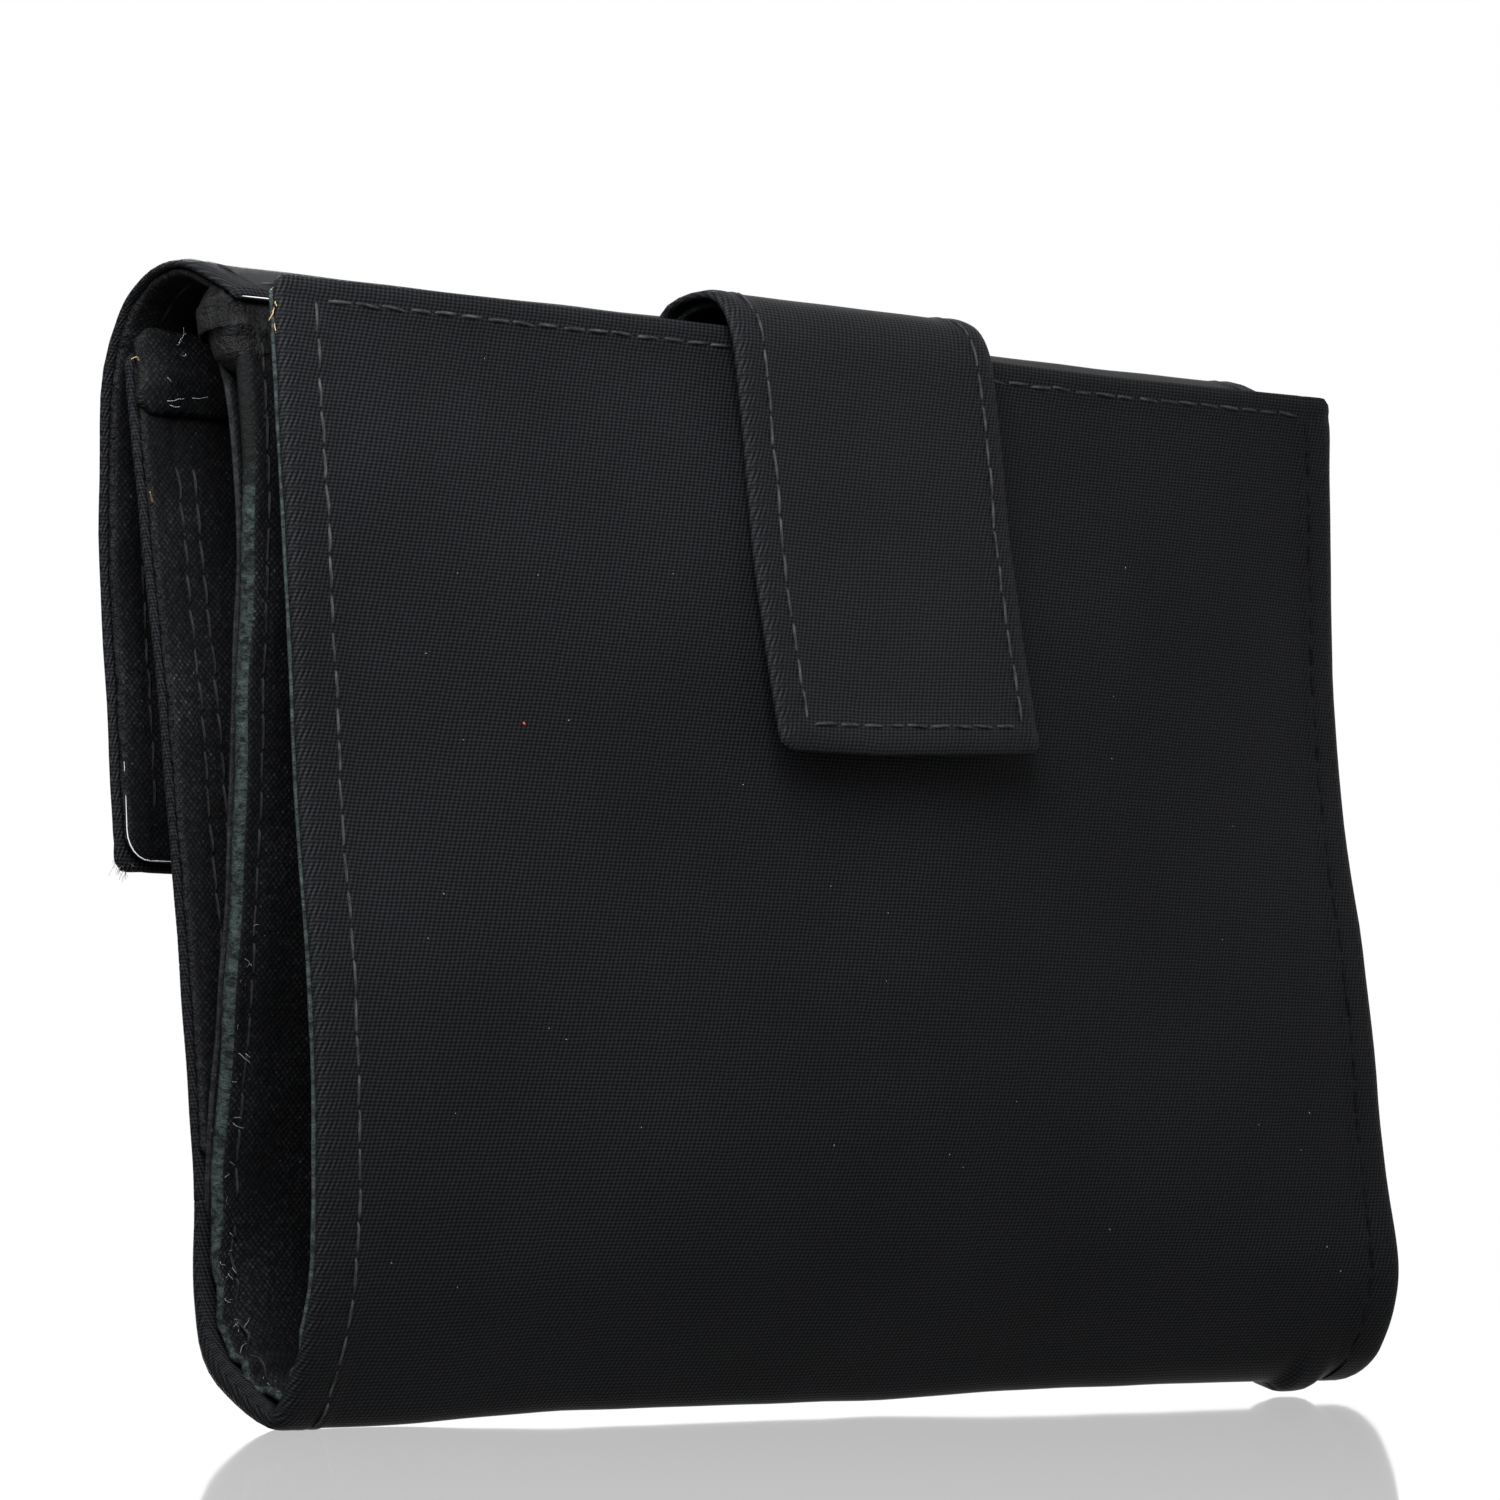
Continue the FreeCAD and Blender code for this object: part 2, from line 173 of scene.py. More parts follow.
def steps(low, high, fine, coarse, margin):
    """Numbers from low to high, fine steps within margin of each end and coarse between."""
    margin = min(margin, (high - low) / 2)
    n_fine = max(2, round(margin / fine))
    n_mid = max(1, round((high - low - 2 * margin) / coarse))
    return np.concatenate([
        np.linspace(low, low + margin, n_fine, endpoint=False),
        np.linspace(low + margin, high - margin, n_mid, endpoint=False),
        np.linspace(high - margin, high, n_fine + 1),
    ])


def add_to_scene(thing):
    bpy.context.scene.collection.objects.link(thing)
    return thing


def finish_mesh(name, verts, faces, uvs, materials, slots):
    """An object from millimetre points, with smooth faces, a UV map in centimetres and materials."""
    mesh = bpy.data.meshes.new(name)
    mesh.from_pydata((np.asarray(verts) * MM).tolist(), [], faces)
    for material in materials:
        mesh.materials.append(material)
    mesh.polygons.foreach_set("material_index", slots)
    mesh.polygons.foreach_set("use_smooth", [True] * len(faces))
    layer = mesh.uv_layers.new(name="cloth")
    corner = np.empty(len(mesh.loops), np.int32)
    mesh.loops.foreach_get("vertex_index", corner)
    layer.data.foreach_set("uv", (np.asarray(uvs)[corner] * UV_SCALE).astype(np.float32).ravel())
    mesh.validate()
    return add_to_scene(bpy.data.objects.new(name, mesh))


RIM_RINGS = 3


def leaf(name, face, half, span, depths, materials, corners=(0.7, 0.7), fine=0.55, coarse=2.4,
         margin=7.0, roundness=0.8, wear=0.05, fine_ends=True):
    """A thin closed shell between two depths below a face, with a rounded rim all round.

    corners are the radii of the sheet's corners at the start and end of its span, and
    materials are the face's and the rim's. depths may be functions of (x, s).
    """
    s0, s1 = span
    end_margin = margin if fine_ends else 0.6
    s = steps(s0, s1, fine, coarse if fine_ends else fine * 2.5, end_margin)
    x_plain = steps(-half, half, fine, coarse, margin)
    seed = sum(map(ord, name))

    def inset(d, r):
        d = np.clip(d, 0, r)
        return r - np.sqrt(np.maximum(r * r - (r - d) ** 2, 0))

    shrink = inset(s - s0, corners[0]) + inset(s1 - s, corners[1])
    X = x_plain[None, :] * (1 - shrink[:, None] / half)
    S = np.repeat(s[:, None], len(x_plain), 1)
    frayed = wear * ripple(S * 0, S, 9.0, seed) * np.clip((np.abs(X) - half + 3) / 3, 0, 1)
    X = X + np.sign(X) * frayed
    rows, cols = X.shape
    near, far = (d(X, S) if callable(d) else np.full(X.shape, float(d)) for d in depths)
    normal = face.normal(X, S)
    lifted = (face.relief(X, S) - near)[..., None]
    top = face.place(X, S) + normal * lifted
    bottom = face.place(X, S) - normal * far[..., None]
    grid = np.arange(rows * cols).reshape(rows, cols)
    verts = [top.reshape(-1, 3), bottom.reshape(-1, 3)]
    plan = np.stack([X, S], -1).reshape(-1, 2)
    uvs = [plan, plan]
    quads = np.stack([grid[:-1, :-1], grid[:-1, 1:], grid[1:, 1:], grid[1:, :-1]], -1).reshape(-1, 4)
    faces = quads.tolist() + (quads[:, ::-1] + rows * cols).tolist()
    slots = [0] * len(faces)
    # the rim: rings that run round the edge, bulging out between the two faces
    around = np.concatenate([grid[0, :-1], grid[:-1, -1], grid[-1, :0:-1], grid[:0:-1, 0]])
    r, c = np.divmod(around, cols)
    out_x = (c == cols - 1).astype(float) - (c == 0)
    out_s = (r == rows - 1).astype(float) - (r == 0)
    across = face.place(X + 0.1, S) - face.place(X - 0.1, S)
    along = face.place(X, S + 0.1) - face.place(X, S - 0.1)
    out = (
        across.reshape(-1, 3)[around] * out_x[:, None] + along.reshape(-1, 3)[around] * out_s[:, None]
    )
    out /= np.linalg.norm(out, axis=1, keepdims=True)
    upper, lower = top.reshape(-1, 3)[around], bottom.reshape(-1, 3)[around]
    thick = np.linalg.norm(upper - lower, axis=1, keepdims=True)
    edge_plan = np.stack([X.ravel()[around], S.ravel()[around]], -1)
    rings = [around]
    total = 2 * rows * cols
    for k in range(1, RIM_RINGS + 1):
        part = k / (RIM_RINGS + 1)
        bulge = roundness * 0.5 * thick * math.sin(math.pi * part) ** 0.7
        verts.append(upper + (lower - upper) * part + out * bulge)
        uvs.append(edge_plan + np.stack([out_x, out_s], -1) * thick * part)
        rings.append(np.arange(total, total + len(around)))
        total += len(around)
    rings.append(around + rows * cols)
    for a, b in zip(rings, rings[1:]):
        strip = np.stack([a, b, np.roll(b, -1), np.roll(a, -1)], -1)
        faces += strip.tolist()
        slots += [1] * len(strip)
    piece = finish_mesh(name, np.vstack(verts), faces, np.vstack(uvs), materials, slots)
    if signed_volume(piece.data) < 0:
        piece.data.flip_normals()
    return piece


def signed_volume(mesh):
    """A closed mesh's volume, negative if its faces look inwards."""
    mesh.calc_loop_triangles()
    tri = np.array([t.vertices for t in mesh.loop_triangles])
    co = np.array([v.co for v in mesh.vertices])
    return float(np.einsum("ij,ij->i", co[tri[:, 0]], np.cross(co[tri[:, 1]], co[tri[:, 2]])).sum())


def tubes(name, lines, sides, material):
    """One mesh of closed tubes. A line is (points, radii, up): its middle, its sizes and its top."""
    verts, faces, uvs = [], [], []
    turn = np.linspace(0, math.tau, sides, endpoint=False)
    for points, radii, up in lines:
        points = np.asarray(points, float)
        along = np.gradient(points, axis=0)
        along /= np.linalg.norm(along, axis=1, keepdims=True)
        side = np.cross(along, up)
        side /= np.linalg.norm(side, axis=1, keepdims=True)
        lift = np.cross(side, along)
        start = len(verts)
        for p, q, l, r in zip(points, side, lift, radii):
            for a in turn:
                verts.append(p + r * (math.cos(a) * q + 0.8 * math.sin(a) * l))
                uvs.append((a * r, len(verts) * 0.05))
        for ring in range(len(points) - 1):
            for k in range(sides):
                a = start + ring * sides + k
                b = start + ring * sides + (k + 1) % sides
                faces.append([a, b, b + sides, a + sides])
        faces.append([start + k for k in reversed(range(sides))])
        faces.append([len(verts) - sides + k for k in range(sides)])
    return finish_mesh(name, verts, faces, uvs, [material], [0] * len(faces))


# a stitch's sections: where along it, how thick, and how far above the cloth in millimetres
STITCH = [(-0.5, 0.5, -0.14), (-0.38, 0.9, 0.0), (-0.15, 1.0, 0.07), (0.15, 1.0, 0.07),
          (0.38, 0.9, 0.0), (0.5, 0.5, -0.14)]
STITCH_SHARE = 0.97


def stitches(name, face, runs, material, thread):
    """Rows of stitches on a face. A run is two (x, s) ends."""
    draw = random.Random(1)
    lines = []
    for (xa, sa), (xb, sb) in runs:
        length = math.hypot(xb - xa, sb - sa)
        count = max(1, round(length / STITCH_PITCH))
        ux, us = (xb - xa) / length, (sb - sa) / length
        for n in range(count):
            middle = (n + 0.5) * length / count + draw.uniform(-0.12, 0.12)
            skew = draw.uniform(-0.05, 0.09)
            aside = draw.uniform(-0.07, 0.07)
            size = STITCH_SHARE * STITCH_PITCH * draw.uniform(0.9, 1.06)
            offs = np.array([p[0] * size for p in STITCH])
            x = xa + ux * (middle + offs) - us * (offs * skew + aside)
            s = sa + us * (middle + offs) + ux * (offs * skew + aside)
            lift = np.array([p[2] for p in STITCH]) + draw.uniform(-0.03, 0.05)
            lines.append((
                face.top(x, s, lift),
                [p[1] * thread * draw.uniform(0.9, 1.1) for p in STITCH],
                face.normal(x, s),
            ))
    return tubes(name, lines, 8, material)


# ---- the leaves' profiles
# cover's outer face down to the foot, round under it and up the coin pocket's front
OUTSIDE = Profile([
    (-6.1, COVER_TOP), (-6.7, 84.6), (-8.05, 68.2), (-9.15, 52), (-10.9, 34.8), (-11.45, 22),
    (-11.2, 13), (-9.95, 7.1), (-8.5, 3.3), (-7.3, 0.9), (-5.9, 0.05), (-4.0, 0.55), (-1.4, 2.0),
    (1.3, 4.15), (2.85, 6.8), (3.45, 10.3), (3.55, 14), (3.5, 18.6), (4.2, 26.8), (5.05, 35),
    (5.95, 43.3), (7.3, 54), (8.5, 63), (9.7, 71), (10.85, 78.4), (11.8, 84.6), (12.3, 89.0),
])
# the lining's visible face: down the cover's inside, round in the fold and up the divider
INSIDE = Profile([
    (-4.85, COVER_TOP - 0.3), (-5.5, 84.6), (-6.85, 68.2), (-7.95, 52), (-9.65, 34.8), (-10.15, 22),
    (-9.95, 13.5), (-9.1, 8.6), (-8.3, 5.6), (-7.3, 3.9), (-6.0, 3.2), (-4.5, 3.45), (-2.0, 4.7),
    (0.0, 7.7), (1.05, 11.2), (1.3, 15), (1.1, 20), (0.2, 28), (-0.5, 34.3), (-1.3, 44.5),
    (-1.9, 57.4), (-2.2, 66), (-2.55, 74.6), (-2.3, 82), (-1.7, 88), (-1.0, 91.5), (-0.4, 93.2),
])
# the divider's other face, which looks into the coin pocket and bends back into the flap's root
FAR_SIDE = Profile([
    (3.1, 17.5), (2.8, 23.1), (2.4, 28), (1.55, 34.4), (0.75, 44.5), (0.15, 57.5), (-0.3, 66),
    (-0.5, 74.7), (0.1, 80), (0.6, 83.5), (1.5, 86.8), (2.8, 89.2), (4.4, 91.4),
])
FLAP = Profile([
    (-1.15, 93.0), (-0.6, 93.75), (0.6, 94.3), (2.4, 95.2), (4.3, 96.05), (6.3, 96.4), (8.4, 96.0),
    (10.2, 95.1), (12.2, 93.4), (13.7, 90.8), (14.6, 88), (15.15, 84), (15.3, 79), (14.9, 68.5),
    (14.1, 60), (13.45, 51.8), (13.25, FLAP_LOW),
])
STRAP = Profile([
    (1.5, 92.2), (1.2, 94.4), (0.1, 96.2), (-1.9, 97.1), (-4.6, 97.4), (-6.9, 96.5), (-8.4, 94.0),
    (-9.15, 90.2), (-10.2, 82.5), (-11.7, 72.1), (-13.3, 63.5), (-14.6, STRAP_LOW),
])
FOOT = OUTSIDE.near(-5.9, 0.05)
FOOT_INSIDE = INSIDE.near(-6.0, 3.2)
WALL = OUTSIDE.near(3.5, 18.5)
DIVIDER_PAINT_END = INSIDE.near(-2.4, 79)


# ---- materials
class Nodes:
    """A short way to build a node material."""

    def __init__(self, name):
        self.material = bpy.data.materials.new(name)
        self.material.use_nodes = True
        self.tree = self.material.node_tree
        self.shader = self.tree.nodes["Principled BSDF"]

    def add(self, kind, **settings):
        node = self.tree.nodes.new("ShaderNode" + kind)
        for key, value in settings.items():
            if hasattr(node, key):
                setattr(node, key, value)
            else:
                self.put(node.inputs[key.replace("_", " ")], value)
        return node

    def put(self, socket, value):
        if isinstance(value, bpy.types.NodeSocket):
            self.tree.links.new(value, socket)
        else:
            socket.default_value = value

    def maths(self, operation, a, b=0.0, c=0.0, clamp=False):
        node = self.add("Math", operation=operation, use_clamp=clamp)
        for socket, value in zip(node.inputs, (a, b, c)):
            self.put(socket, value)
        return node.outputs[0]

    def times(self, a, b, clamp=False):
        return self.maths("MULTIPLY", a, b, clamp=clamp)

    def plus(self, a, b):
        return self.maths("ADD", a, b)

    def scaled(self, a, by, offset, clamp=False):
        return self.maths("MULTIPLY_ADD", a, by, offset, clamp)

    def wave(self, value, turns):
        """The sine of value times turns."""
        return self.maths("SINE", self.times(value, turns))

    def plan(self):
        """The UV map, and its two axes in millimetres."""
        uv = self.add("UVMap", uv_map="cloth")
        parts = self.add("SeparateXYZ", Vector=uv.outputs[0])
        across, along = (self.times(parts.outputs[i], 1 / UV_SCALE) for i in (0, 1))
        return uv.outputs[0], across, along

    def noise(self, vector, scale, detail=3.0, rough=0.55):
        node = self.add("TexNoise", Scale=scale, Detail=detail, Roughness=rough, Vector=vector)
        return node.outputs["Fac"]

    def ramp(self, factor, stops):
        node = self.add("ValToRGB", Fac=factor)
        elements = node.color_ramp.elements
        while len(elements) < len(stops):
            elements.new(0.5)
        for element, (at, colour) in zip(elements, stops):
            element.position = at
            element.color = (*colour, 1)
        return node.outputs[0]

    def bump(self, height, distance, strength=1.0, under=None):
        node = self.add("Bump", Strength=strength, Distance=distance, Height=height)
        if under is not None:
            self.put(node.inputs["Normal"], under)
        return node.outputs[0]

    def set(self, **values):
        names = {"colour": "Base Color", "rough": "Roughness", "normal": "Normal", "metal": "Metallic",
                 "gloss": "Specular IOR Level"}
        for key, value in values.items():
            self.put(self.shader.inputs[names[key]], value)
        return self.material


def grey(level, cool=0.0):
    return (level, level, level * (1 + cool))


WARP_PITCH = 0.52
WEFT_PITCH = 0.31
CORD_PITCH = 0.75


def nylon_cloth(name, level=0.0031, gloss=0.012, rough=0.42, braid=HALF - 2.0):
    """Fine woven nylon. Outside the line braid, across the wallet, the turned edge's cords show."""
    n = Nodes(name)
    uv, u, v = n.plan()
    wobble = n.times(n.maths("SUBTRACT", n.noise(uv, 2.0), 0.5), 0.3)
    slope = n.scaled(v, 0.37, n.plus(u, wobble))
    warp = n.wave(slope, math.tau / WARP_PITCH)
    weft = n.wave(n.plus(v, wobble), math.tau / WEFT_PITCH)
    weave = n.scaled(n.plus(warp, weft), 0.25, 0.5)
    cloud = n.noise(uv, 0.35, 4.0)
    slub = n.noise(uv, 22.0, 2.0)
    slant = n.wave(n.scaled(u, 1.6, v), math.tau / CORD_PITCH)
    band = n.times(n.maths("SUBTRACT", n.maths("ABSOLUTE", u), braid), 2.0, clamp=True)
    cords = n.times(slant, band)
    tone = n.plus(n.times(weave, 0.7), n.times(slub, 0.3))
    tone = n.times(tone, n.scaled(cloud, 0.5, 0.75))
    tone = n.scaled(cords, 0.07, tone)
    colour = n.ramp(tone, [(0.2, nylon_grey(level * 0.4)), (0.5, nylon_grey(level)),
                           (0.8, nylon_grey(level * 2.3))])
    normal = n.bump(cords, 0.00003, 0.8)
    normal = n.bump(weave, 0.00004, 0.9, normal)
    roughness = n.scaled(cloud, 0.16, rough - 0.08)
    return n.set(colour=colour, rough=roughness, normal=normal, gloss=gloss)


def nylon_grey(level):
    """Black with a little blue in it."""
    return (level, level * 1.05, level * 1.18)


def grained_leather(name, pitch=0.62, level=0.0026, rough=0.45, gloss=0.05):
    """Calf leather embossed with a fine cross-hatch, partly rubbed flat, with pale specks painted on as
    glints.
    """
    n = Nodes(name)
    uv, u, v = n.plan()
    wander = n.times(n.maths("SUBTRACT", n.noise(uv, 5.0), 0.5), 0.8)
    turns = math.pi / pitch
    one = n.wave(n.plus(n.plus(u, v), wander), turns)
    two = n.wave(n.plus(n.maths("SUBTRACT", u, v), wander), turns)
    hatch = n.maths("POWER", n.times(n.maths("ABSOLUTE", one), n.maths("ABSOLUTE", two)), 0.45)
    grain = n.noise(uv, 14.0, 4.0, 0.7)
    cloud = n.noise(uv, 0.9, 3.0)
    relief = n.plus(n.times(hatch, 0.4), grain)
    tone = n.times(relief, n.scaled(cloud, 0.6, 0.6))
    # painted glints: pale specks put into the colour, lifted to the ramp's brightest stops
    glint_specks = n.times(n.maths("SUBTRACT", n.noise(uv, 34.0, 3.0, 0.6), 0.66), 9.0, clamp=True)
    tone = n.plus(tone, glint_specks)
    colour = n.ramp(tone, [(0.35, nylon_grey(level * 0.3)), (0.75, nylon_grey(level)),
                           (0.95, nylon_grey(level * 3)), (1.0, nylon_grey(level * 9))])
    normal = n.bump(relief, 0.00012, 0.8)
    roughness = n.scaled(cloud, 0.14, rough - 0.07)
    return n.set(colour=colour, rough=roughness, normal=normal, gloss=gloss)


def crumpled_leather(name, level=0.0011):
    """Leather crushed where it is turned over an edge: wrinkles whose tops are painted lighter as
    highlights.
    """
    n = Nodes(name)
    uv, _, _ = n.plan()
    wrinkles = n.noise(uv, 7.0, 6.0, 0.65)
    grain = n.noise(uv, 30.0, 3.0)
    relief = n.scaled(grain, 0.35, wrinkles)
    # painted highlights: the wrinkles' tops are made lighter in the colour ramp
    colour = n.ramp(relief, [(0.45, nylon_grey(level * 0.3)), (0.68, nylon_grey(level)),
                             (0.82, nylon_grey(level * 3)), (0.95, nylon_grey(level * 8))])
    return n.set(colour=colour, rough=0.42, normal=n.bump(relief, 0.0008, 1.0), gloss=0.05)


def painted_edge(name, light, worn, rough=0.5, ends=1000.0):
    """Edge paint, rubbed through to darker leather in streaks. It is worn off beyond ends."""
    n = Nodes(name)
    uv, _, v = n.plan()
    rub = n.noise(uv, 11.0, 6.0, 0.75)
    grain = n.noise(uv, 70.0, 3.0)
    creases = n.noise(uv, 4.0, 5.0, 0.7)
    mixed = n.plus(n.times(rub, 0.8), n.times(grain, 0.2))
    left = n.scaled(n.maths("SUBTRACT", ends, v), 0.06, 0.8, clamp=True)
    mixed = n.times(mixed, left)
    colour = n.ramp(mixed, [(0.44, worn), (0.54, light), (0.68, tuple(c * 1.9 for c in light))])
    normal = n.bump(n.plus(creases, rub), 0.0006, 0.8)
    return n.set(colour=colour, rough=rough, normal=normal, gloss=0.04)


THREAD_TWIST = 22.0


def thread(name, level=0.0075, gloss=0.07):
    """Twisted sewing thread."""
    n = Nodes(name)
    uv, u, v = n.plan()
    twist = n.maths("ABSOLUTE", n.wave(n.plus(u, v), THREAD_TWIST))
    tone = n.scaled(n.noise(uv, 14.0, 4.0), 1.0, n.times(twist, 0.3))
    colour = n.ramp(tone, [(0.45, grey(level * 0.4)), (0.68, grey(level, cool=0.06)),
                           (0.95, grey(level * 4))])
    return n.set(colour=colour, rough=0.5, normal=n.bump(twist, 0.00005, 0.7), gloss=gloss)


def stiff_board(name):
    """Brown board pressed from leather scraps."""
    n = Nodes(name)
    uv, _, _ = n.plan()
    flecks = n.noise(uv, 12.0, 5.0, 0.7)
    colour = n.ramp(flecks, [(0.35, (0.08, 0.055, 0.035)), (0.65, (0.17, 0.12, 0.08))])
    return n.set(colour=colour, rough=0.85, normal=n.bump(flecks, 0.0001, 0.5), gloss=0.2)


def gunmetal(name):
    """Dark plated metal with fine scratches."""
    n = Nodes(name)
    place = n.add("TexCoord").outputs["Object"]
    scratch = n.noise(place, 900.0, 4.0)
    colour = n.ramp(scratch, [(0.3, (0.16, 0.16, 0.165)), (0.7, (0.30, 0.30, 0.305))])
    rough = n.scaled(scratch, 0.25, 0.22)
    return n.set(colour=colour, rough=rough, metal=1.0, normal=n.bump(scratch, 0.00002, 0.4))


def fibre(name, colour):
    """One colour of loose fibre."""
    n = Nodes(name)
    uv, _, _ = n.plan()
    tone = n.noise(uv, 5.0)
    shades = n.ramp(tone, [(0.3, tuple(c * 0.6 for c in colour)), (0.7, colour)])
    return n.set(colour=shades, rough=0.7, gloss=0.2)


CLOTH = nylon_cloth("woven_nylon")
CLOTH_EDGE = nylon_cloth("woven_nylon_fold", level=0.0034, rough=0.5)
STRAP_CLOTH = nylon_cloth("woven_nylon_strap", level=0.0034, gloss=0.02, braid=STRAP_HALF - 1.6)
LEATHER = grained_leather("crossgrain_leather")
SMOOTH_LEATHER = grained_leather("gusset_leather", pitch=0.4, level=0.003, rough=0.5)
PALE_EDGE = painted_edge("painted_edge_worn", (0.011, 0.016, 0.015), (0.002, 0.0025, 0.0025),
                         ends=DIVIDER_PAINT_END)
DARK_EDGE = painted_edge("painted_edge_dark", (0.007, 0.0075, 0.008), (0.003, 0.003, 0.003), 0.4)
RAW_EDGE = crumpled_leather("turned_leather_edge")
THIN_EDGE = painted_edge("painted_edge_thin", (0.016, 0.021, 0.021), (0.005, 0.006, 0.006), 0.35)
LINT = fibre("lint", (0.35, 0.36, 0.38))
RED_FLECK = fibre("red_fleck", (0.25, 0.03, 0.03))
THREAD = thread("sewing_thread")
DARK_THREAD = thread("lining_thread", 0.003)
SUNK_THREAD = thread("sunk_thread", 0.0016, gloss=0.012)
BOARD = stiff_board("bonded_board")
METAL = gunmetal("gunmetal_snap")
TAN_FIBRE = fibre("tan_fibre", (0.20, 0.14, 0.07))
GREY_FIBRE = fibre("grey_fibre", (0.12, 0.12, 0.12))


def dress(piece, how, slot, *nodes):
    """Hands a piece to how, which hangs it on a body or only bakes its place, and hides the CAD nodes that
    it stands for.
    """
    how(piece)
    if nodes:
        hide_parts(*nodes)
    return piece


def sew(name, face, runs, how, slot, material, thread=0.15):
    """A row of stitches, hung on the same body as the sheet it is in, or baked in place like it."""
    return dress(stitches(name, face, runs, material, thread), how, slot)


def rides(body):
    return lambda piece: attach(piece, body)


def bends(a, b, start, end):
    """Bakes a piece's place into its mesh, and bends nothing between the two bodies a and b. a, b, start
    and end are not used; start and end are (y, z) in millimetres.
    """
    return lambda piece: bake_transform(piece)


# ---- the leaves' surfaces
# how far the leaves stray from their profiles, and where the foot's knob is, in millimetres
COVER_BULGE = 2.4
TOP_SAG = 0.5
RIGHT_END_CLOSER = 2.0
RIGHT_END_FULLER = 3.2
FOOT_CLEAR_MIDDLE = 0.7
FOOT_CLEAR_RIGHT = 0.55
KNOB_X = 62
KNOB_HALF = 2.6
BOARD_SWELL = 0.75
FLAP_DRAWN = 0.25
STRAP_TILT = 0.7


def place_outside(x, s):
    """The cover bulges a little in the middle, and the foot is bowed up between its ends."""
    y, z = OUTSIDE.at(s)
    across = np.clip(1 - (x / HALF) ** 2, 0, 1)
    on_cover = smooth((FOOT - 4 - s) / 24)
    y = y - cover_bulge(z) * across * on_cover
    y = y + right_end(x, z) * smooth((FOOT + 3 - s) / 7)
    y = y + 0.8 * across * smooth((s - WALL) / 30)
    y = y + 0.22 * ripple(x, s, 60, 5) * on_cover * smooth((HALF - np.abs(x)) / 12)
    z = z + foot_lift(x, z) - top_sag(x, s)
    return np.stack([x, y, z], -1)


def top_sag(x, s):
    """How much lower the cover's top edge lies to the right of the strap."""
    return TOP_SAG * hill(x, 36, 28) * smooth((24 - s) / 24)


def cover_bulge(z):
    """How far the middle of the cover stands in front of its ends."""
    return COVER_BULGE * smooth((104 - z) / 34)


def right_end(x, z):
    """How the cover's right end differs: its upper half lies closer, its foot swells forwards."""
    closer = RIGHT_END_CLOSER * hill(z, 64, 22)
    fuller = RIGHT_END_FULLER * hill(z, 6, 12)
    return (closer - fuller) * np.clip(x / HALF, 0, 1) ** 2


def foot_lift(x, z):
    """How far the foot is clear of the floor. It stands on its left end and on a knob near its right."""
    clear = FOOT_CLEAR_MIDDLE * smooth((x + 60) / 26) + FOOT_CLEAR_RIGHT * smooth(x / 30)
    knob = np.exp(-(((x - KNOB_X) / KNOB_HALF) ** 4)) * hill(z, 0, 2.5)
    return clear * (1 - 0.85 * knob) * hill(z, 0, 14)


def swell(x, edge):
    """0 at the sewn edges and 1 where the board fills the leaf."""
    return smooth((edge - HEM - np.abs(x)) / 4.5)


def place_inside(x, s):
    """The lining stands off the edges' level where the boards are, and is crumpled in the fold."""
    y, z = INSIDE.at(s)
    next_y, next_z = INSIDE.at(s + 0.5)
    along_y, along_z = (next_y - y) / 0.5, (next_z - z) / 0.5
    across = np.clip(1 - (x / HALF) ** 2, 0, 1)
    on_cover = smooth((FOOT_INSIDE - 3 - s) / 22)
    on_divider = smooth((s - FOOT_INSIDE - 22) / 10)
    y = y - cover_bulge(z) * across * on_cover + BOARD_SWELL * swell(x, HALF) * on_cover
    y = y + right_end(x, z) * smooth((FOOT_INSIDE + 3 - s) / 7)
    y = y - 0.3 * swell(x, DIVIDER_HALF) * on_divider
    fold = hill(s, FOOT_INSIDE + 7, 13)
    edge = smooth((np.abs(x) - HALF + 9) / 8)
    crumple = 0.3 * ripple(x, s, 9, 9) + 0.5 * edge * np.sin(s * 1.7 + 1.6 * ripple(x, s, 14, 8))
    y = y - fold * crumple * along_z
    z = z + fold * crumple * along_y + foot_lift(x, z) - top_sag(x, s)
    return np.stack([x, y, z], -1)


def place_flap(x, s):
    """The flap is drawn in where its snap holds it to the coin pocket."""
    y, z = FLAP.at(s)
    drawn = FLAP_DRAWN * hill(x, 0, 34) * smooth((s - 18) / 40)
    y = y - drawn + 0.15 * ripple(x, s, 50, 12) * smooth((s - 16) / 20)
    z = z + 0.15 * ripple(x, s * 0, 60, 13)
    return np.stack([x, y, z], -1)


def place_strap(x, s):
    """The strap is cupped a little, and its end hangs lower on the left."""
    y, z = STRAP.at(s)
    cup = 0.25 * (x / STRAP_HALF) ** 2 * smooth((s - 22) / 12)
    z = z + STRAP_TILT * smooth((s - 18) / 22) * np.clip(x / STRAP_HALF, -0.3, 1)
    return np.stack([x, y - 0.1 + cup, z], -1)


# the plain faces, without relief
COVER_FACE = Face(place_outside, -1)
LINING_FACE = Face(place_inside, 1)
FLAP_FACE = Face(place_flap, 1)
STRAP_FACE = Face(place_strap, -1)


# ---- relief
def groove(distance, depth=0.10, wide=0.55):
    """A shallow valley along a line of stitches, distance away from it."""
    return -depth * hill(distance, 0, wide)


def pucker(along, distance):
    """Small swellings between the stitches of a row."""
    return 0.05 * np.sin(math.tau * along / STITCH_PITCH) * hill(distance, 0, 1.3)


UNHEMMED = 99.0
HEM_RISE = 0.16
EDGE_ROUND = 0.9


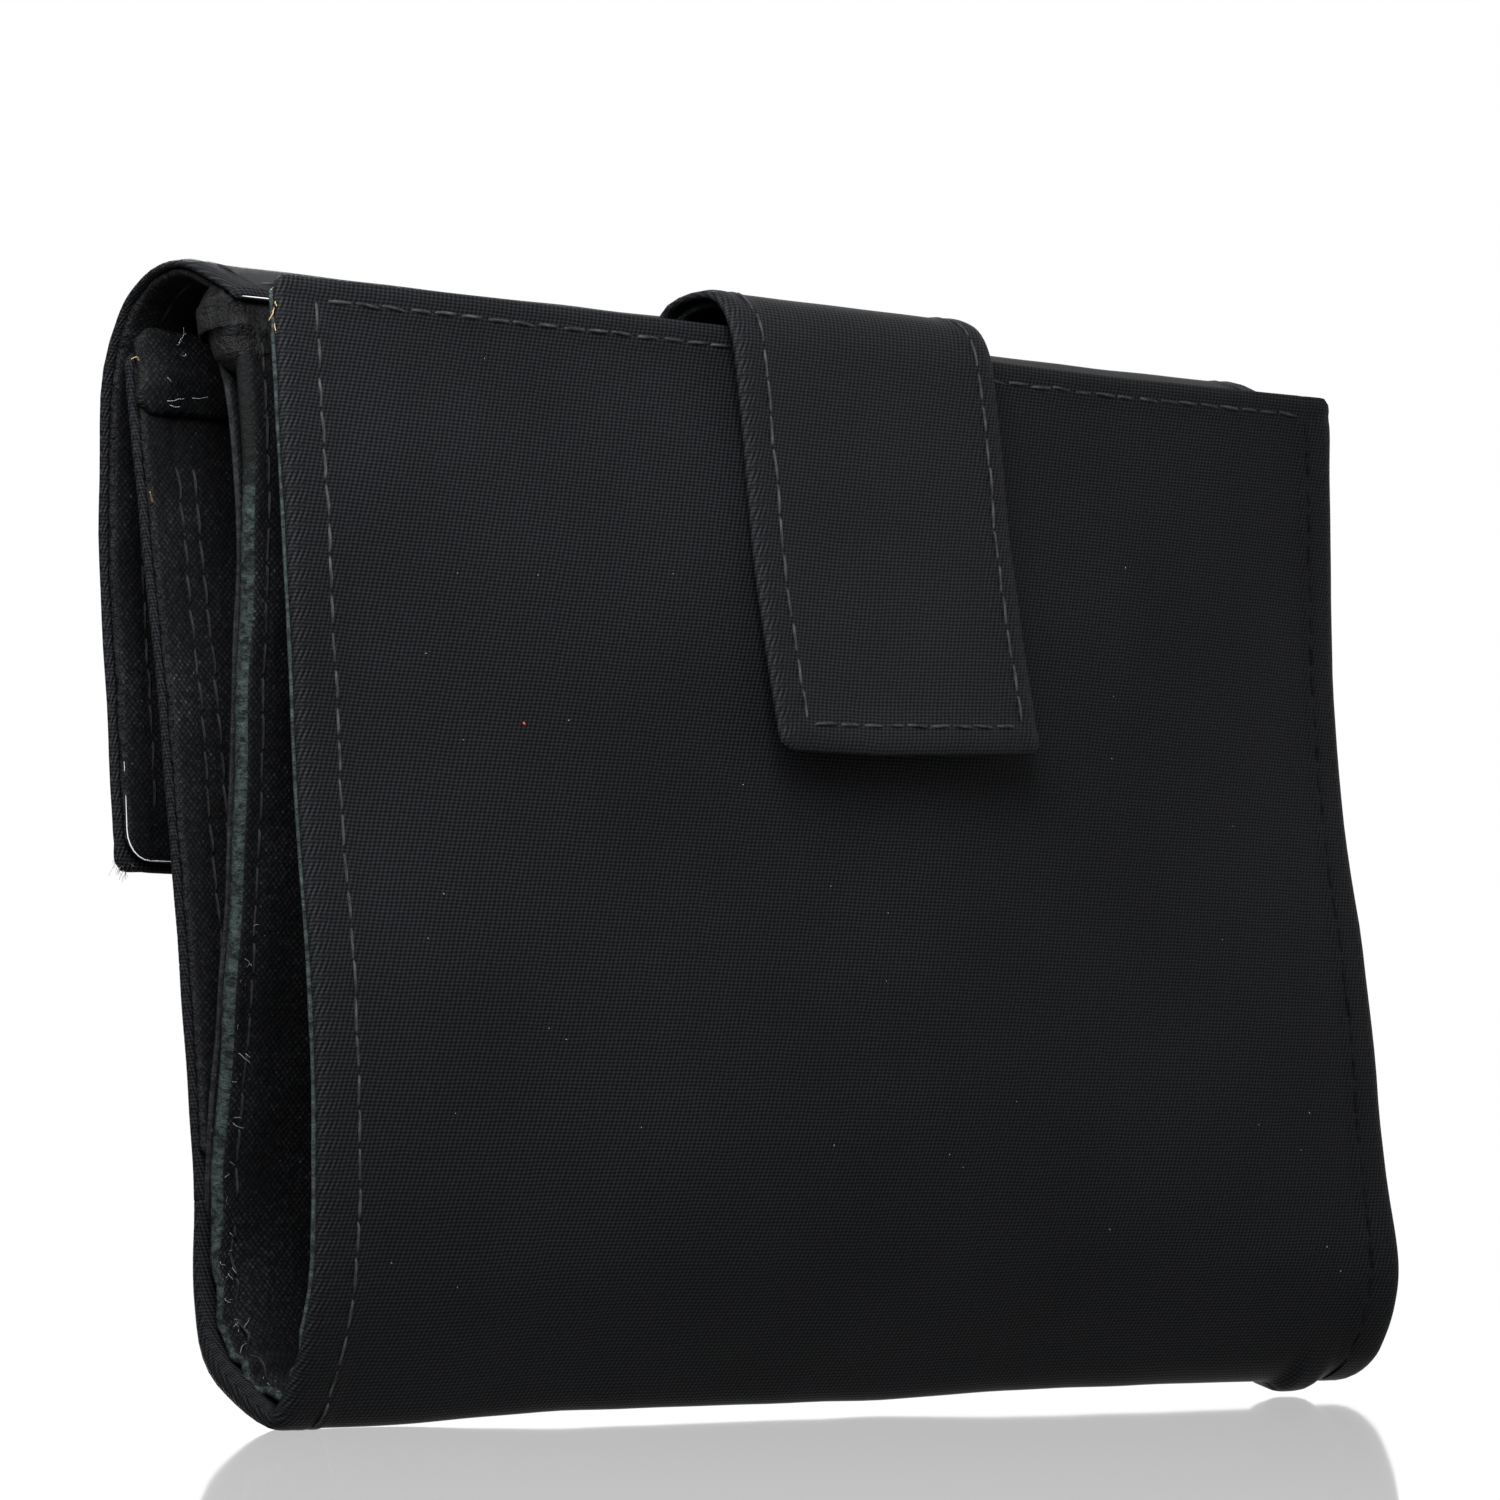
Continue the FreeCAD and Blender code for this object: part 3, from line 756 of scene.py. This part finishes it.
def hem_relief(half, top_s, end_s, hem=HEM, top_hem=TOP_HEM):
    """Relief of a hemmed sheet: thick turned edges, with a groove where they are sewn down."""
    def relief(x, s):
        side = half - np.abs(x)
        up = s - top_s if top_s is not None else np.full(np.shape(x), UNHEMMED)
        down = end_s - s
        hems = ((side, hem, 1.1), (up, top_hem, 1.0), (down, top_hem, 1.0))
        turned = np.maximum.reduce([1 - smooth((away - wide - 0.2) / soft) for away, wide, soft in hems])
        rows = ((s, side - hem + 0.3), (x, up - top_hem), (x, down - top_hem))
        sewn = np.minimum.reduce([groove(away) for _, away in rows])
        sewn = sewn + sum(pucker(along, away) for along, away in rows)
        rounded = sum(1 - smooth(edge / EDGE_ROUND) for edge in (side, up, down))
        return HEM_RISE * turned + sewn - 0.2 * rounded + 0.05 * ripple(x, s, 16, 3)
    return relief


def lining_relief(half, row, start=None, end=None):
    """Relief of a lining: a groove along its stitch rows."""
    def relief(x, s):
        side = half - np.abs(x)
        cut = groove(side - row, 0.12, 0.5) + pucker(s, side - row)
        if start is not None:
            cut = cut + groove(s - start - row, 0.12, 0.5)
        if end is not None:
            cut = cut + groove(end - s - row, 0.12, 0.5)
        return cut + 0.06 * ripple(x, s, 11, 4)
    return relief


def side_rows(half, inset, start, end):
    """Two runs of stitches along the sides of a sheet, inset from its edges."""
    return [((x, start), (x, end)) for x in (-half + inset, half - inset)]


def cross_row(half, s):
    """A run of stitches across a sheet."""
    return (-half, s), (half, s)


# ---- the pieces
# where a sheet starts and ends to bend between two bodies, as (y, z); bends does not use them
HINGE_NEAR = ((-5.6, 0.2), (-10.3, 9.5))
HINGE_FAR = ((2.9, 9.5), (-4.2, 0.4))
HINGE_FAR_INSIDE = ((1.0, 9.5), (-4.0, 2.2))
COIN_HINGE = ((3.6, 17.0), (4.0, 24.0))


def cloth_depth(x, s):
    """The nylon is doubled where it is turned under the foot."""
    return 0.68 + 1.4 * hill(s, FOOT + 6, 10)


def make_outer_cloth():
    """The nylon that covers the front, the foot and the coin pocket's front, in three pieces."""
    relief = hem_relief(HALF, 0.0, OUTSIDE.length)
    face = Face(place_outside, -1, relief)
    to_cover = bends("spine", "cover", *HINGE_NEAR)
    to_spine = bends("back", "spine", *HINGE_FAR)
    to_coin = bends("back", "coin_front", *COIN_HINGE)
    cloth = (CLOTH, CLOTH_EDGE)
    spans = {
        "cover_cloth": ((0.0, FOOT), (0.7, 0.01), to_cover, ("cover_nylon",)),
        "spine_cloth": ((FOOT, WALL), (0.01, 0.01), to_spine, ("spine_nylon", "back_wall_nylon")),
        "coin_front_cloth": ((WALL, OUTSIDE.length), (0.01, 0.9), to_coin, ("coin_front_nylon",)),
    }
    inset = HEM - 0.3
    for name, (span, corners, how, nodes) in spans.items():
        piece = leaf(name, face, HALF, span, (0.0, cloth_depth), cloth, corners,
                     fine_ends=name != "spine_cloth", roundness=0.4, margin=17)
        dress(piece, how, "black_nylon", *nodes)
        first = span[0] + (TOP_HEM if name == "cover_cloth" else 0.3)
        last = span[1] - (TOP_HEM if name == "coin_front_cloth" else 0.3)
        left, right = side_rows(HALF, inset, first, last)
        runs = [left]
        if name == "cover_cloth":
            runs.append(cross_row(HALF - inset - 1.2, TOP_HEM))
        if name == "coin_front_cloth":
            runs.append(cross_row(HALF - inset - 1.2, OUTSIDE.length - TOP_HEM))
        sew(name + "_stitches", face, runs, how, "black_nylon", THREAD)
        sew(name + "_stitches_right", face, [right], how, "black_nylon", SUNK_THREAD, 0.11)


def make_lining():
    """The leather that lines the cover, crosses inside the fold and faces the divider."""
    to_cover = bends("spine", "cover", *HINGE_NEAR)
    to_spine = bends("back", "spine", *HINGE_FAR_INSIDE)
    face = Face(place_inside, 1, lining_relief(LINING_HALF, HEM - 1.0, start=0.4))
    near = leaf("cover_lining_leather", face, LINING_HALF, (0.4, FOOT_INSIDE), (0.0, 0.55),
                (LEATHER, THIN_EDGE), (1.0, 0.01))
    dress(near, to_cover, "lining_leather", "cover_lining")
    runs = side_rows(LINING_HALF, HEM - 1.0, 2.5, FOOT_INSIDE - 0.4)
    runs.append(cross_row(HALF - 6, 2.9))
    sew("cover_lining_stitches", face, runs, to_cover, "lining_leather", DARK_THREAD)
    face = Face(place_inside, 1, lining_relief(DIVIDER_HALF + 0.6, 1.7))
    end = INSIDE.length
    far = leaf("divider_leather", face, DIVIDER_HALF + 0.6, (FOOT_INSIDE, end), (0.0, divider_depth),
               (LEATHER, PALE_EDGE), (0.01, 0.8), wear=0.16)
    dress(far, to_spine, "lining_leather", "divider_lining", "spine_lining", "back_wall_lining")
    runs = side_rows(DIVIDER_HALF + 0.6, 1.7, FOOT_INSIDE + 0.4, end - 4)
    sew("divider_stitches", face, runs, to_spine, "lining_leather", DARK_THREAD)


def divider_depth(x, s):
    """The lining is thin in the fold, and thick with its painted edge where it is the divider."""
    return 0.8 + 0.6 * smooth((s - FOOT_INSIDE - 12) / 6)


def make_boards():
    """The stiffeners hidden inside the leaves."""
    low = OUTSIDE.near(-10.8, 12)
    wall = OUTSIDE.near(3.85, 25)
    board = (BOARD, BOARD)
    hidden = [
        ("cover_stiffener", COVER_FACE, BOARD_HALF - 4, (4.0, low), (0.8, 1.2), "cover", "cover_board"),
        ("coin_front_stiffener", COVER_FACE, BOARD_HALF - 4, (wall, OUTSIDE.length - 4), (0.75, 1.05),
         "coin_front", "coin_front_board"),
        ("divider_stiffener", LINING_FACE, BOARD_HALF - 4, (INSIDE.near(-0.4, 26), INSIDE.length - 5),
         (1.2, 1.5), "back", "divider_board"),
        ("flap_stiffener", FLAP_FACE, BOARD_HALF - 4, (FLAP.near(13.2, 84), FLAP.length - 4), (0.65, 0.95),
         "flap", "flap_board"),
        ("strap_stiffener", STRAP_FACE, STRAP_LINING_HALF - 3, (STRAP.near(-11.5, 84), STRAP.length - 3),
         (0.75, 1.05), "strap", "strap_core"),
    ]
    for name, face, half, span, depths, body, node in hidden:
        piece = leaf(name, face, half, span, depths, board, (2, 2), fine=2.0, coarse=6.0, wear=0)
        dress(piece, rides(body), "stiffener_board", node)


def make_coin_pocket():
    """The coin pocket's back leather, its front's lining and binding, and its gussets."""
    far_side = Face(lambda x, s: place_along(FAR_SIDE, x, s), -1)
    back = leaf("coin_pocket_back_leather", far_side, DIVIDER_HALF + 0.7, (0.0, FAR_SIDE.length),
                (0.0, 0.55), (LEATHER, DARK_EDGE), (0.5, 0.8), wear=0.12)
    dress(back, rides("back"), "pocket_leather", "coin_pocket_back", "pocket_seam")
    to_coin = bends("back", "coin_front", *COIN_HINGE)
    front = Face(place_coin_lining, 1, lining_relief(HALF - 0.5, 3.4))
    start, end = OUTSIDE.near(3.7, 22), OUTSIDE.length - 0.5
    piece = leaf("coin_front_leather", front, HALF - 0.5, (start, end), (0.0, 0.62), (LEATHER, RAW_EDGE),
                 (0.6, 1.2), wear=0.14)
    dress(piece, to_coin, "lining_leather", "coin_front_lining")
    rows = [row for inset in (3.4, 5.2) for row in side_rows(HALF - 0.5, inset, start + 1, end - 9)]
    sew("coin_front_lining_stitches", front, rows, to_coin, "lining_leather", DARK_THREAD)
    rim = leaf("coin_front_binding_leather", Face(place_coin_binding, 1), HALF - 0.3,
               (end - 4.4, end + 2.2), (-0.55, 0.35), (LEATHER, RAW_EDGE), (1.2, 1.4), wear=0.35,
               roundness=1.0)
    dress(rim, rides("coin_front"), "lining_leather", "coin_front_binding")
    for side, sign in (("left", -1), ("right", 1)):
        gusset = leaf("coin_gusset_leather_" + side, Face(gusset_place(sign), sign), 1.0,
                      (30.0, 84.0), (0.0, 0.5), (SMOOTH_LEATHER, DARK_EDGE), (0.0, 0.0), fine=0.12,
                      coarse=0.12, wear=0)
        node = "coin_gusset_" + side
        dress(gusset, bends("back", "coin_front", (-0.4, 60.0), (4.8, 60.0)), "gusset_leather", node)


def place_along(profile, x, s):
    y, z = profile.at(s)
    return np.stack([x, y + 0 * x, z + 0 * x], -1)


def place_coin_lining(x, s):
    """The face that looks into the coin pocket."""
    outer = place_outside(x, s)
    n = COVER_FACE.normal(x, s)
    return outer - n * (1.25 + 0.35 * swell(x, HALF))[..., None]


def place_coin_binding(x, s):
    """The binding turned over the coin pocket's top is lumpy, most of all at its ends."""
    near_end = 0.35 + 0.65 * smooth((np.abs(x) - HALF + 7) / 6)
    lumps = 0.38 * ripple(x, s, 5.5, 21) * near_end
    p = place_coin_lining(x, s)
    return p + np.stack([0 * x, -0.1 - lumps, 0.5 * lumps], -1)


def make_divider_corners():
    """The lumps of turned leather that fill the divider's top corners under the flap's root."""
    start = INSIDE.near(-1.7, 88)
    for side, sign in (("left", -1), ("right", 1)):
        def place(x, s, sign=sign):
            bumps = ripple(x, s, 3.6, 31)
            p = place_inside(x + sign * (DIVIDER_HALF - 0.6), s)
            return p + np.stack([0.2 * bumps, 0.25 * bumps - 0.12, 0.1 * bumps], -1)

        def depth(x, s):
            y, z = INSIDE.at(s)
            return np.maximum(np.interp(z, FAR_SIDE.z, FAR_SIDE.y) - y - 0.3, 0.8)

        lump = leaf("divider_corner_" + side, Face(place, 1), 1.25, (start, INSIDE.length + 0.4),
                    (0.0, depth), (RAW_EDGE, RAW_EDGE), (1.0, 1.0), fine=0.3, coarse=0.4, wear=0.25)
        dress(lump, rides("back"), "lining_leather")


COIN_S = np.linspace(WALL, OUTSIDE.length, 80)
COIN_HEIGHTS = OUTSIDE.at(COIN_S)[1]


def gusset_place(sign):
    """A gusset's V, folded inwards between the pocket's two sides. Its second axis is height."""
    def place(x, s):
        t = (x + 1.0) / 2
        top_y, _ = OUTSIDE.at(np.interp(s, COIN_HEIGHTS, COIN_S))
        back_y = np.interp(s, FAR_SIDE.z, FAR_SIDE.y)
        low, high = back_y + 0.1, top_y - 2.1
        depth = 1 - np.abs(2 * np.clip(t, 0, 1) - 1)
        return np.stack([sign * (58.0 - 4.0 * depth), low + (high - low) * t, s], -1)
    return place


DIVIDER_S = np.linspace(FOOT_INSIDE + 14, INSIDE.length, 80)
DIVIDER_HEIGHTS = INSIDE.at(DIVIDER_S)[1]
SLOT_STEP = 0.62


def make_pockets():
    """Card slots on the divider and a bill pocket inside the cover."""
    low = INSIDE.near(-0.2, 24)
    half = SLOT_HALF
    for n in (1, 2, 3):
        node = "card_slot_%d" % n
        top = float(np.interp(box_mm(node)[1].z, DIVIDER_HEIGHTS, DIVIDER_S))
        lift = SLOT_STEP * n
        slot_face = Face(lambda x, s, lift=lift: place_inside(x, s) + LINING_FACE.normal(x, s) * lift, 1,
                         lining_relief(half, 2.0, end=top))
        piece = leaf("card_slot_leather_%d" % n, slot_face, half, (low, top), (0.0, 0.55),
                     (LEATHER, DARK_EDGE), (0.8, 1.4), wear=0.04)
        dress(piece, rides("back"), "pocket_leather", node)
        runs = [cross_row(half - 2, top - 2)]
        if n == 3:
            runs += side_rows(half, 2.0, low + 1.5, top - 3)
            runs.append(cross_row(half - 2, low + 2))
        sew("card_slot_stitches_%d" % n, slot_face, runs, rides("back"), "pocket_leather", DARK_THREAD, 0.2)
    low, high = box_mm("bill_pocket")[0].z, box_mm("bill_pocket")[1].z
    top, end = INSIDE.near(-5.8, high), INSIDE.near(-9.6, low)
    bill_face = Face(lambda x, s: place_inside(x, s) + LINING_FACE.normal(x, s) * 0.9, 1,
                     lining_relief(BILL_HALF, 2.2, start=top))
    piece = leaf("bill_pocket_leather", bill_face, BILL_HALF, (top, end), (0.0, 0.7), (LEATHER, DARK_EDGE),
                 (1.4, 0.8), wear=0.05)
    dress(piece, rides("cover"), "pocket_leather", "bill_pocket")
    runs = [cross_row(BILL_HALF - 2, s) for s in (top + 2.2, end - 2.2)]
    runs += side_rows(BILL_HALF, 2.2, top + 3, end - 3)
    sew("bill_pocket_stitches", bill_face, runs, rides("cover"), "pocket_leather", DARK_THREAD, 0.2)


# how far the pale strand that paints a highlight line round the flap lining's corner stands off its edge
HIGHLIGHT_LINE_OUT = 0.15


def make_flap():
    """The flap's nylon and lining, each in a near half and a far half that meet at the crest."""
    crest = FLAP.near(7.6, 96.8)
    face = Face(place_flap, 1, hem_relief(HALF, None, FLAP.length, hem=3.0, top_hem=2.2))
    to_fold = bends("back", "flap_fold", (1.5, 94.5), (6.8, 96.9))
    to_flap = bends("flap_fold", "flap", (9.0, 96.2), (14.4, 88.0))
    cloth = (CLOTH, CLOTH_EDGE)
    near = leaf("flap_cloth_near", face, HALF, (0.0, crest), (0.0, 0.6), cloth, (0.4, 0.01),
                fine_ends=False)
    dress(near, to_fold, "black_nylon", "flap_root_nylon", "flap_fold_nylon", "divider_top_binding")
    far = leaf("flap_cloth", face, HALF, (crest, FLAP.length), (0.0, 0.6), cloth, (0.01, 0.7), wear=0.15)
    dress(far, to_flap, "black_nylon", "flap_nylon")
    runs = side_rows(HALF, 3.0, crest + 3.5, FLAP.length - 2.2)
    runs.append(cross_row(HALF - 4.2, FLAP.length - 2.2))
    sew("flap_stitches", face, runs, to_flap, "black_nylon", THREAD)
    runs = side_rows(HALF, 3.0, 3.2, crest - 3.0)
    runs.append(cross_row(HALF - 4.2, 2.4))
    sew("flap_stitches_near", face, runs, to_fold, "black_nylon", THREAD)

    def place(x, s):
        n = FLAP_FACE.normal(x, s)
        return place_flap(x, s) - n * (1.35 + 0.3 * swell(x, HALF) * smooth((s - 22) / 10))[..., None]

    half = HALF - 0.6
    under = Face(place, -1, lining_relief(half, 3.2))
    corner = 2.4
    end = FLAP.length - 0.9
    near = leaf("flap_lining_near", under, half, (3.2, crest), (0.0, 0.72), (LEATHER, RAW_EDGE),
                (0.4, 0.01), fine_ends=False, wear=0.14)
    dress(near, to_fold, "lining_leather", "flap_root_lining", "flap_fold_lining")
    far = leaf("flap_lining_leather", under, half, (crest, end), (0.0, 0.72), (LEATHER, RAW_EDGE),
               (0.01, corner), wear=0.14)
    dress(far, to_flap, "lining_leather", "flap_lining")
    # a pale strand round the lining's lower corner, a painted highlight along its edge
    turn = np.linspace(0, math.pi / 2, 7)
    reach = corner + HIGHLIGHT_LINE_OUT
    middle = corner - half
    xs = np.concatenate([
        [-half - HIGHLIGHT_LINE_OUT] * 2, middle - reach * np.cos(turn), [middle + 3.0, middle + 6.0],
    ])
    ss = np.concatenate([
        [end - 8.0, end - 5.0], end - corner + reach * np.sin(turn), [end + HIGHLIGHT_LINE_OUT] * 2,
    ])
    radii = 0.065 * np.sin(np.linspace(0.2, math.pi - 0.2, len(xs)))
    highlight_line = [(under.point(xs, ss, 0.1), radii, under.normal(xs, ss))]
    dress(tubes("flap_lining_corner_painted_highlight", highlight_line, 6, LINT), to_flap, "lining_leather")
    runs = side_rows(half, 3.2, crest + 1, end - 4)
    sew("flap_lining_stitches", under, runs, to_flap, "lining_leather", DARK_THREAD)


def make_strap():
    """The strap's nylon, turned round its edges, and the leather under it."""
    crest = STRAP.near(-5.15, 97.25)
    end = STRAP.length
    face = Face(place_strap, -1, hem_relief(STRAP_HALF, None, end, hem=2.9, top_hem=2.4))
    to_fold = bends("back", "strap_fold", (1.2, 94.0), (-3.0, 97.2))
    to_strap = bends("strap_fold", "strap", (-5.5, 97.0), (-9.2, 90.5))
    cloth = (STRAP_CLOTH, CLOTH_EDGE)
    near = leaf("strap_cloth_near", face, STRAP_HALF, (0.0, crest), (0.0, 0.75), cloth, (0.4, 0.01),
                coarse=1.4, fine_ends=False)
    dress(near, to_fold, "black_nylon", "strap_root_nylon", "strap_fold_nylon")
    far = leaf("strap_cloth", face, STRAP_HALF, (crest, end), (0.0, 0.75), cloth, (0.01, 0.9),
               coarse=1.4)
    dress(far, to_strap, "black_nylon", "strap_nylon")
    columns = (-STRAP_HALF + 3.0, STRAP_HALF - 2.2)
    runs = [((x, crest + 0.4), (x, end - 2.3)) for x in columns]
    runs.append(((columns[0] + 1.0, end - 2.3), (columns[1] - 1.0, end - 2.3)))
    sew("strap_stitches", face, runs, to_strap, "black_nylon", THREAD)
    runs = [((x, 2.0), (x, crest - 0.4)) for x in columns]
    sew("strap_stitches_near", face, runs, to_fold, "black_nylon", THREAD)

    def place(x, s):
        return place_strap(x, s) - STRAP_FACE.normal(x, s) * 1.35

    under = Face(place, 1, lining_relief(STRAP_LINING_HALF, 1.4, end=end - 1.2))
    near = leaf("strap_lining_near", under, STRAP_LINING_HALF, (0.6, crest), (0.0, 0.62),
                (LEATHER, PALE_EDGE), (0.4, 0.01), coarse=1.4, fine_ends=False)
    dress(near, to_fold, "lining_leather", "strap_root_lining", "strap_fold_lining")
    far = leaf("strap_lining_leather", under, STRAP_LINING_HALF, (crest, end - 1.2), (0.0, 0.62),
               (LEATHER, PALE_EDGE), (0.01, 1.2), coarse=1.4)
    dress(far, to_strap, "lining_leather", "strap_lining")


def strand(start, aim, length, radius, pick):
    """One curly fibre, as a line for tubes."""
    point, aim = np.array(start, float), np.array(aim, float)
    points = [point]
    count = 9
    for _ in range(count):
        aim = aim + [pick(-0.3, 0.3) for _ in range(3)]
        aim /= np.linalg.norm(aim)
        point = point + aim * length / count
        points.append(point)
    radii = np.linspace(radius, radius * 0.5, count + 1)
    return points, radii, np.array([0.3, 0.5, 0.81])


def fraying(pick, count, root, aim, length, radius):
    """Many strands. root gives each one's start, and aim's parts are numbers or ranges."""
    strands = []
    for _ in range(count):
        start = root()
        towards = [pick(*part) if isinstance(part, tuple) else part for part in aim]
        strands.append(strand(start, towards, pick(*length), radius, pick))
    return strands


# a taut end of thread between the flap's root and the cover's corner
ROOT_THREAD = ((-69.6, -1.5, 92.8), (-69.7, -4.9, 92.3))


def make_fibres():
    """Fraying: loose ends at the cover's corner, along the worn edges and on the binding."""
    pick = random.Random(7).uniform
    coin = Face(place_coin_binding, 1)
    top = OUTSIDE.length

    def divider_root():
        s = pick(FOOT_INSIDE + 3, FOOT_INSIDE + 42)
        return LINING_FACE.point(-DIVIDER_HALF - 0.5 + pick(0, 1.5), s, -0.02)

    ends = fraying(pick, 5, lambda: COVER_FACE.point(-HALF + 0.1, 1.4 + pick(-0.5, 1.8), 0.5),
                   (-0.25, 0.1, -1), (1.2, 2.6), 0.07)
    dress(tubes("cover_corner_fraying", ends, 5, TAN_FIBRE), rides("cover"), "black_nylon")
    ends = fraying(pick, 7, lambda: coin.point(-HALF + pick(0.2, 6), top + pick(-5, 1.2), -0.5),
                   ((-1, 1), -1, (-0.4, 1)), (0.8, 2.4), 0.02)
    dress(tubes("coin_front_fraying", ends, 4, LINT), rides("coin_front"), "lining_leather")
    ends = [strand(coin.point(-HALF + 0.2, top - below, -0.2), (-0.6, -0.3, 0.8), 1.6, 0.09, pick)
            for below in (1.0, 13.0)]
    dress(tubes("coin_front_tan_ends", ends, 5, TAN_FIBRE), rides("coin_front"), "lining_leather")
    ends = [(np.linspace(*ROOT_THREAD, 5), [0.05] * 5, np.array([-1.0, 0, 0]))]
    dress(tubes("flap_root_loose_thread", ends, 5, LINT), rides("back"), "black_nylon")
    low = FLAP.length
    ends = fraying(pick, 34, lambda: FLAP_FACE.point(-HALF + pick(-0.1, 1.6), low - pick(-0.1, 1.2), 0.3),
                   ((-1, 0.3), (-0.5, 0.5), -0.6), (0.4, 1.3), 0.03)
    dress(tubes("flap_corner_fraying", ends, 4, GREY_FIBRE), rides("flap"), "black_nylon")
    ends = fraying(pick, 34, divider_root, ((-1, 1), -0.6, (-1, 1)), (0.3, 1.3), 0.028)
    to_spine = bends("back", "spine", *HINGE_FAR_INSIDE)
    dress(tubes("divider_fraying", ends, 4, GREY_FIBRE), to_spine, "lining_leather")


def make_lint():
    """Specks of lint that lie on the cover, and one red one."""
    pick = random.Random(11).uniform
    specks = []
    for _ in range(34):
        x, s = pick(-HALF + 3, HALF - 8), pick(4, FOOT - 12)
        turn, size = pick(0, math.pi), pick(0.08, 0.26)
        ends = np.array([-0.5, 0, 0.5]) * size
        points = COVER_FACE.top(x + math.cos(turn) * ends, s + math.sin(turn) * ends, 0.02)
        specks.append((points, [0.02, 0.04, 0.02], COVER_FACE.normal(x, s)))
    dress(tubes("cover_lint", specks, 5, GREY_FIBRE), rides("cover"), "black_nylon")
    x, s = -45.0, 36.0
    points = COVER_FACE.top(x + np.array([-0.1, 0, 0.12]), s + np.array([-0.12, 0, 0.1]), 0.03)
    fleck = [(points, [0.06, 0.12, 0.06], COVER_FACE.normal(x, s))]
    dress(tubes("cover_red_fleck", fleck, 6, RED_FLECK), rides("cover"), "black_nylon")


def finish_snaps():
    """The studs and sockets are the CAD's own shapes, with flat faces in dark metal."""
    for name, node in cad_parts.items():
        if "_snap_" in name:
            node.data.materials.clear()
            node.data.materials.append(METAL)
            for polygon in node.data.polygons:
                polygon.use_smooth = False


# ---- stage, light and camera
CAMERA_LENS = 187.2
CAMERA_PLACE = (-515.0, -460.3, 22.0)
CAMERA_YAW = math.radians(47.89)
CAMERA_PITCH = math.radians(3.0)


def make_camera():
    """A long lens, low, from the front's left, tilted up a little."""
    camera = add_to_scene(bpy.data.objects.new("camera", bpy.data.cameras.new("camera")))
    camera.data.sensor_width = 36.0
    camera.data.lens = CAMERA_LENS
    camera.location = Vector(CAMERA_PLACE) * MM
    level = math.cos(CAMERA_PITCH)
    aim = Vector((math.sin(CAMERA_YAW) * level, math.cos(CAMERA_YAW) * level, math.sin(CAMERA_PITCH)))
    camera.rotation_mode = "QUATERNION"
    camera.rotation_quaternion = aim.to_track_quat("-Z", "Y")
    camera.data.clip_start = 0.01
    camera.data.clip_end = 50
    bpy.context.scene.camera = camera


FLOOR_HALF = 0.7


def make_floor():
    """A pale glossy sheet that is nearly clear, so that a leaf opened below it still shows."""
    n = Nodes("acrylic_floor")
    n.tree.nodes.remove(n.shader)

    def mix(share, under, over):
        node = n.add("MixShader")
        for socket, value in zip(node.inputs, (share, under, over)):
            n.put(socket, value)
        return node.outputs[0]

    clear = n.add("BsdfTransparent").outputs[0]
    matte = n.add("BsdfDiffuse", Color=(0.95, 0.95, 0.95, 1)).outputs[0]
    shine = n.add("BsdfGlossy", Color=(1, 1, 1, 1), Roughness=0.045).outputs[0]
    away = n.add("VectorMath", operation="LENGTH")
    n.put(away.inputs[0], n.add("TexCoord").outputs["Object"])
    fade = n.add("MapRange", interpolation_type="SMOOTHSTEP")
    for socket, value in zip(fade.inputs, (away.outputs["Value"], 0.22, 0.6, 1.0, 0.0)):
        n.put(socket, value)
    mirrored = n.times(n.add("Fresnel", IOR=1.3).outputs[0], 0.67)
    sheet = mix(fade.outputs[0], clear, mix(mirrored, mix(0.02, clear, matte), shine))
    n.put(n.tree.nodes["Material Output"].inputs[0], sheet)
    mesh = bpy.data.meshes.new("floor")
    corners = [(x * FLOOR_HALF, y * FLOOR_HALF, 0) for x, y in ((-1, -1), (1, -1), (1, 1), (-1, 1))]
    mesh.from_pydata(corners, [], [(0, 1, 2, 3)])
    mesh.materials.append(n.material)
    floor = add_to_scene(bpy.data.objects.new("floor", mesh))


def area_light(name, place, aim, size, power):
    light = bpy.data.lights.new(name, "AREA")
    light.shape = "RECTANGLE"
    light.size, light.size_y = size
    light.energy = power
    lamp = add_to_scene(bpy.data.objects.new(name, light))
    lamp.location = place
    lamp.rotation_mode = "QUATERNION"
    lamp.rotation_quaternion = (Vector(aim) - Vector(place)).to_track_quat("-Z", "Y")


def make_light():
    """A white room, with a soft lamp from the upper left and another behind."""
    world = bpy.data.worlds.new("white_room")
    bpy.context.scene.world = world
    world.use_nodes = True
    world.node_tree.nodes["Background"].inputs[0].default_value = (1, 1, 1, 1)
    world.node_tree.nodes["Background"].inputs[1].default_value = 1.0
    area_light("key", (-0.17, -0.11, 0.235), (-0.045, 0, 0.08), (0.18, 0.18), 3.8)
    area_light("fill", (0.12, 0.34, 0.16), (0, 0, 0.05), (0.22, 0.22), 2.5)
    bpy.context.scene.view_settings.view_transform = "Standard"


make_camera()
make_floor()
make_light()
make_outer_cloth()
make_lining()
make_boards()
make_coin_pocket()
make_divider_corners()
make_pockets()
make_flap()
make_strap()
make_fibres()
make_lint()
finish_snaps()
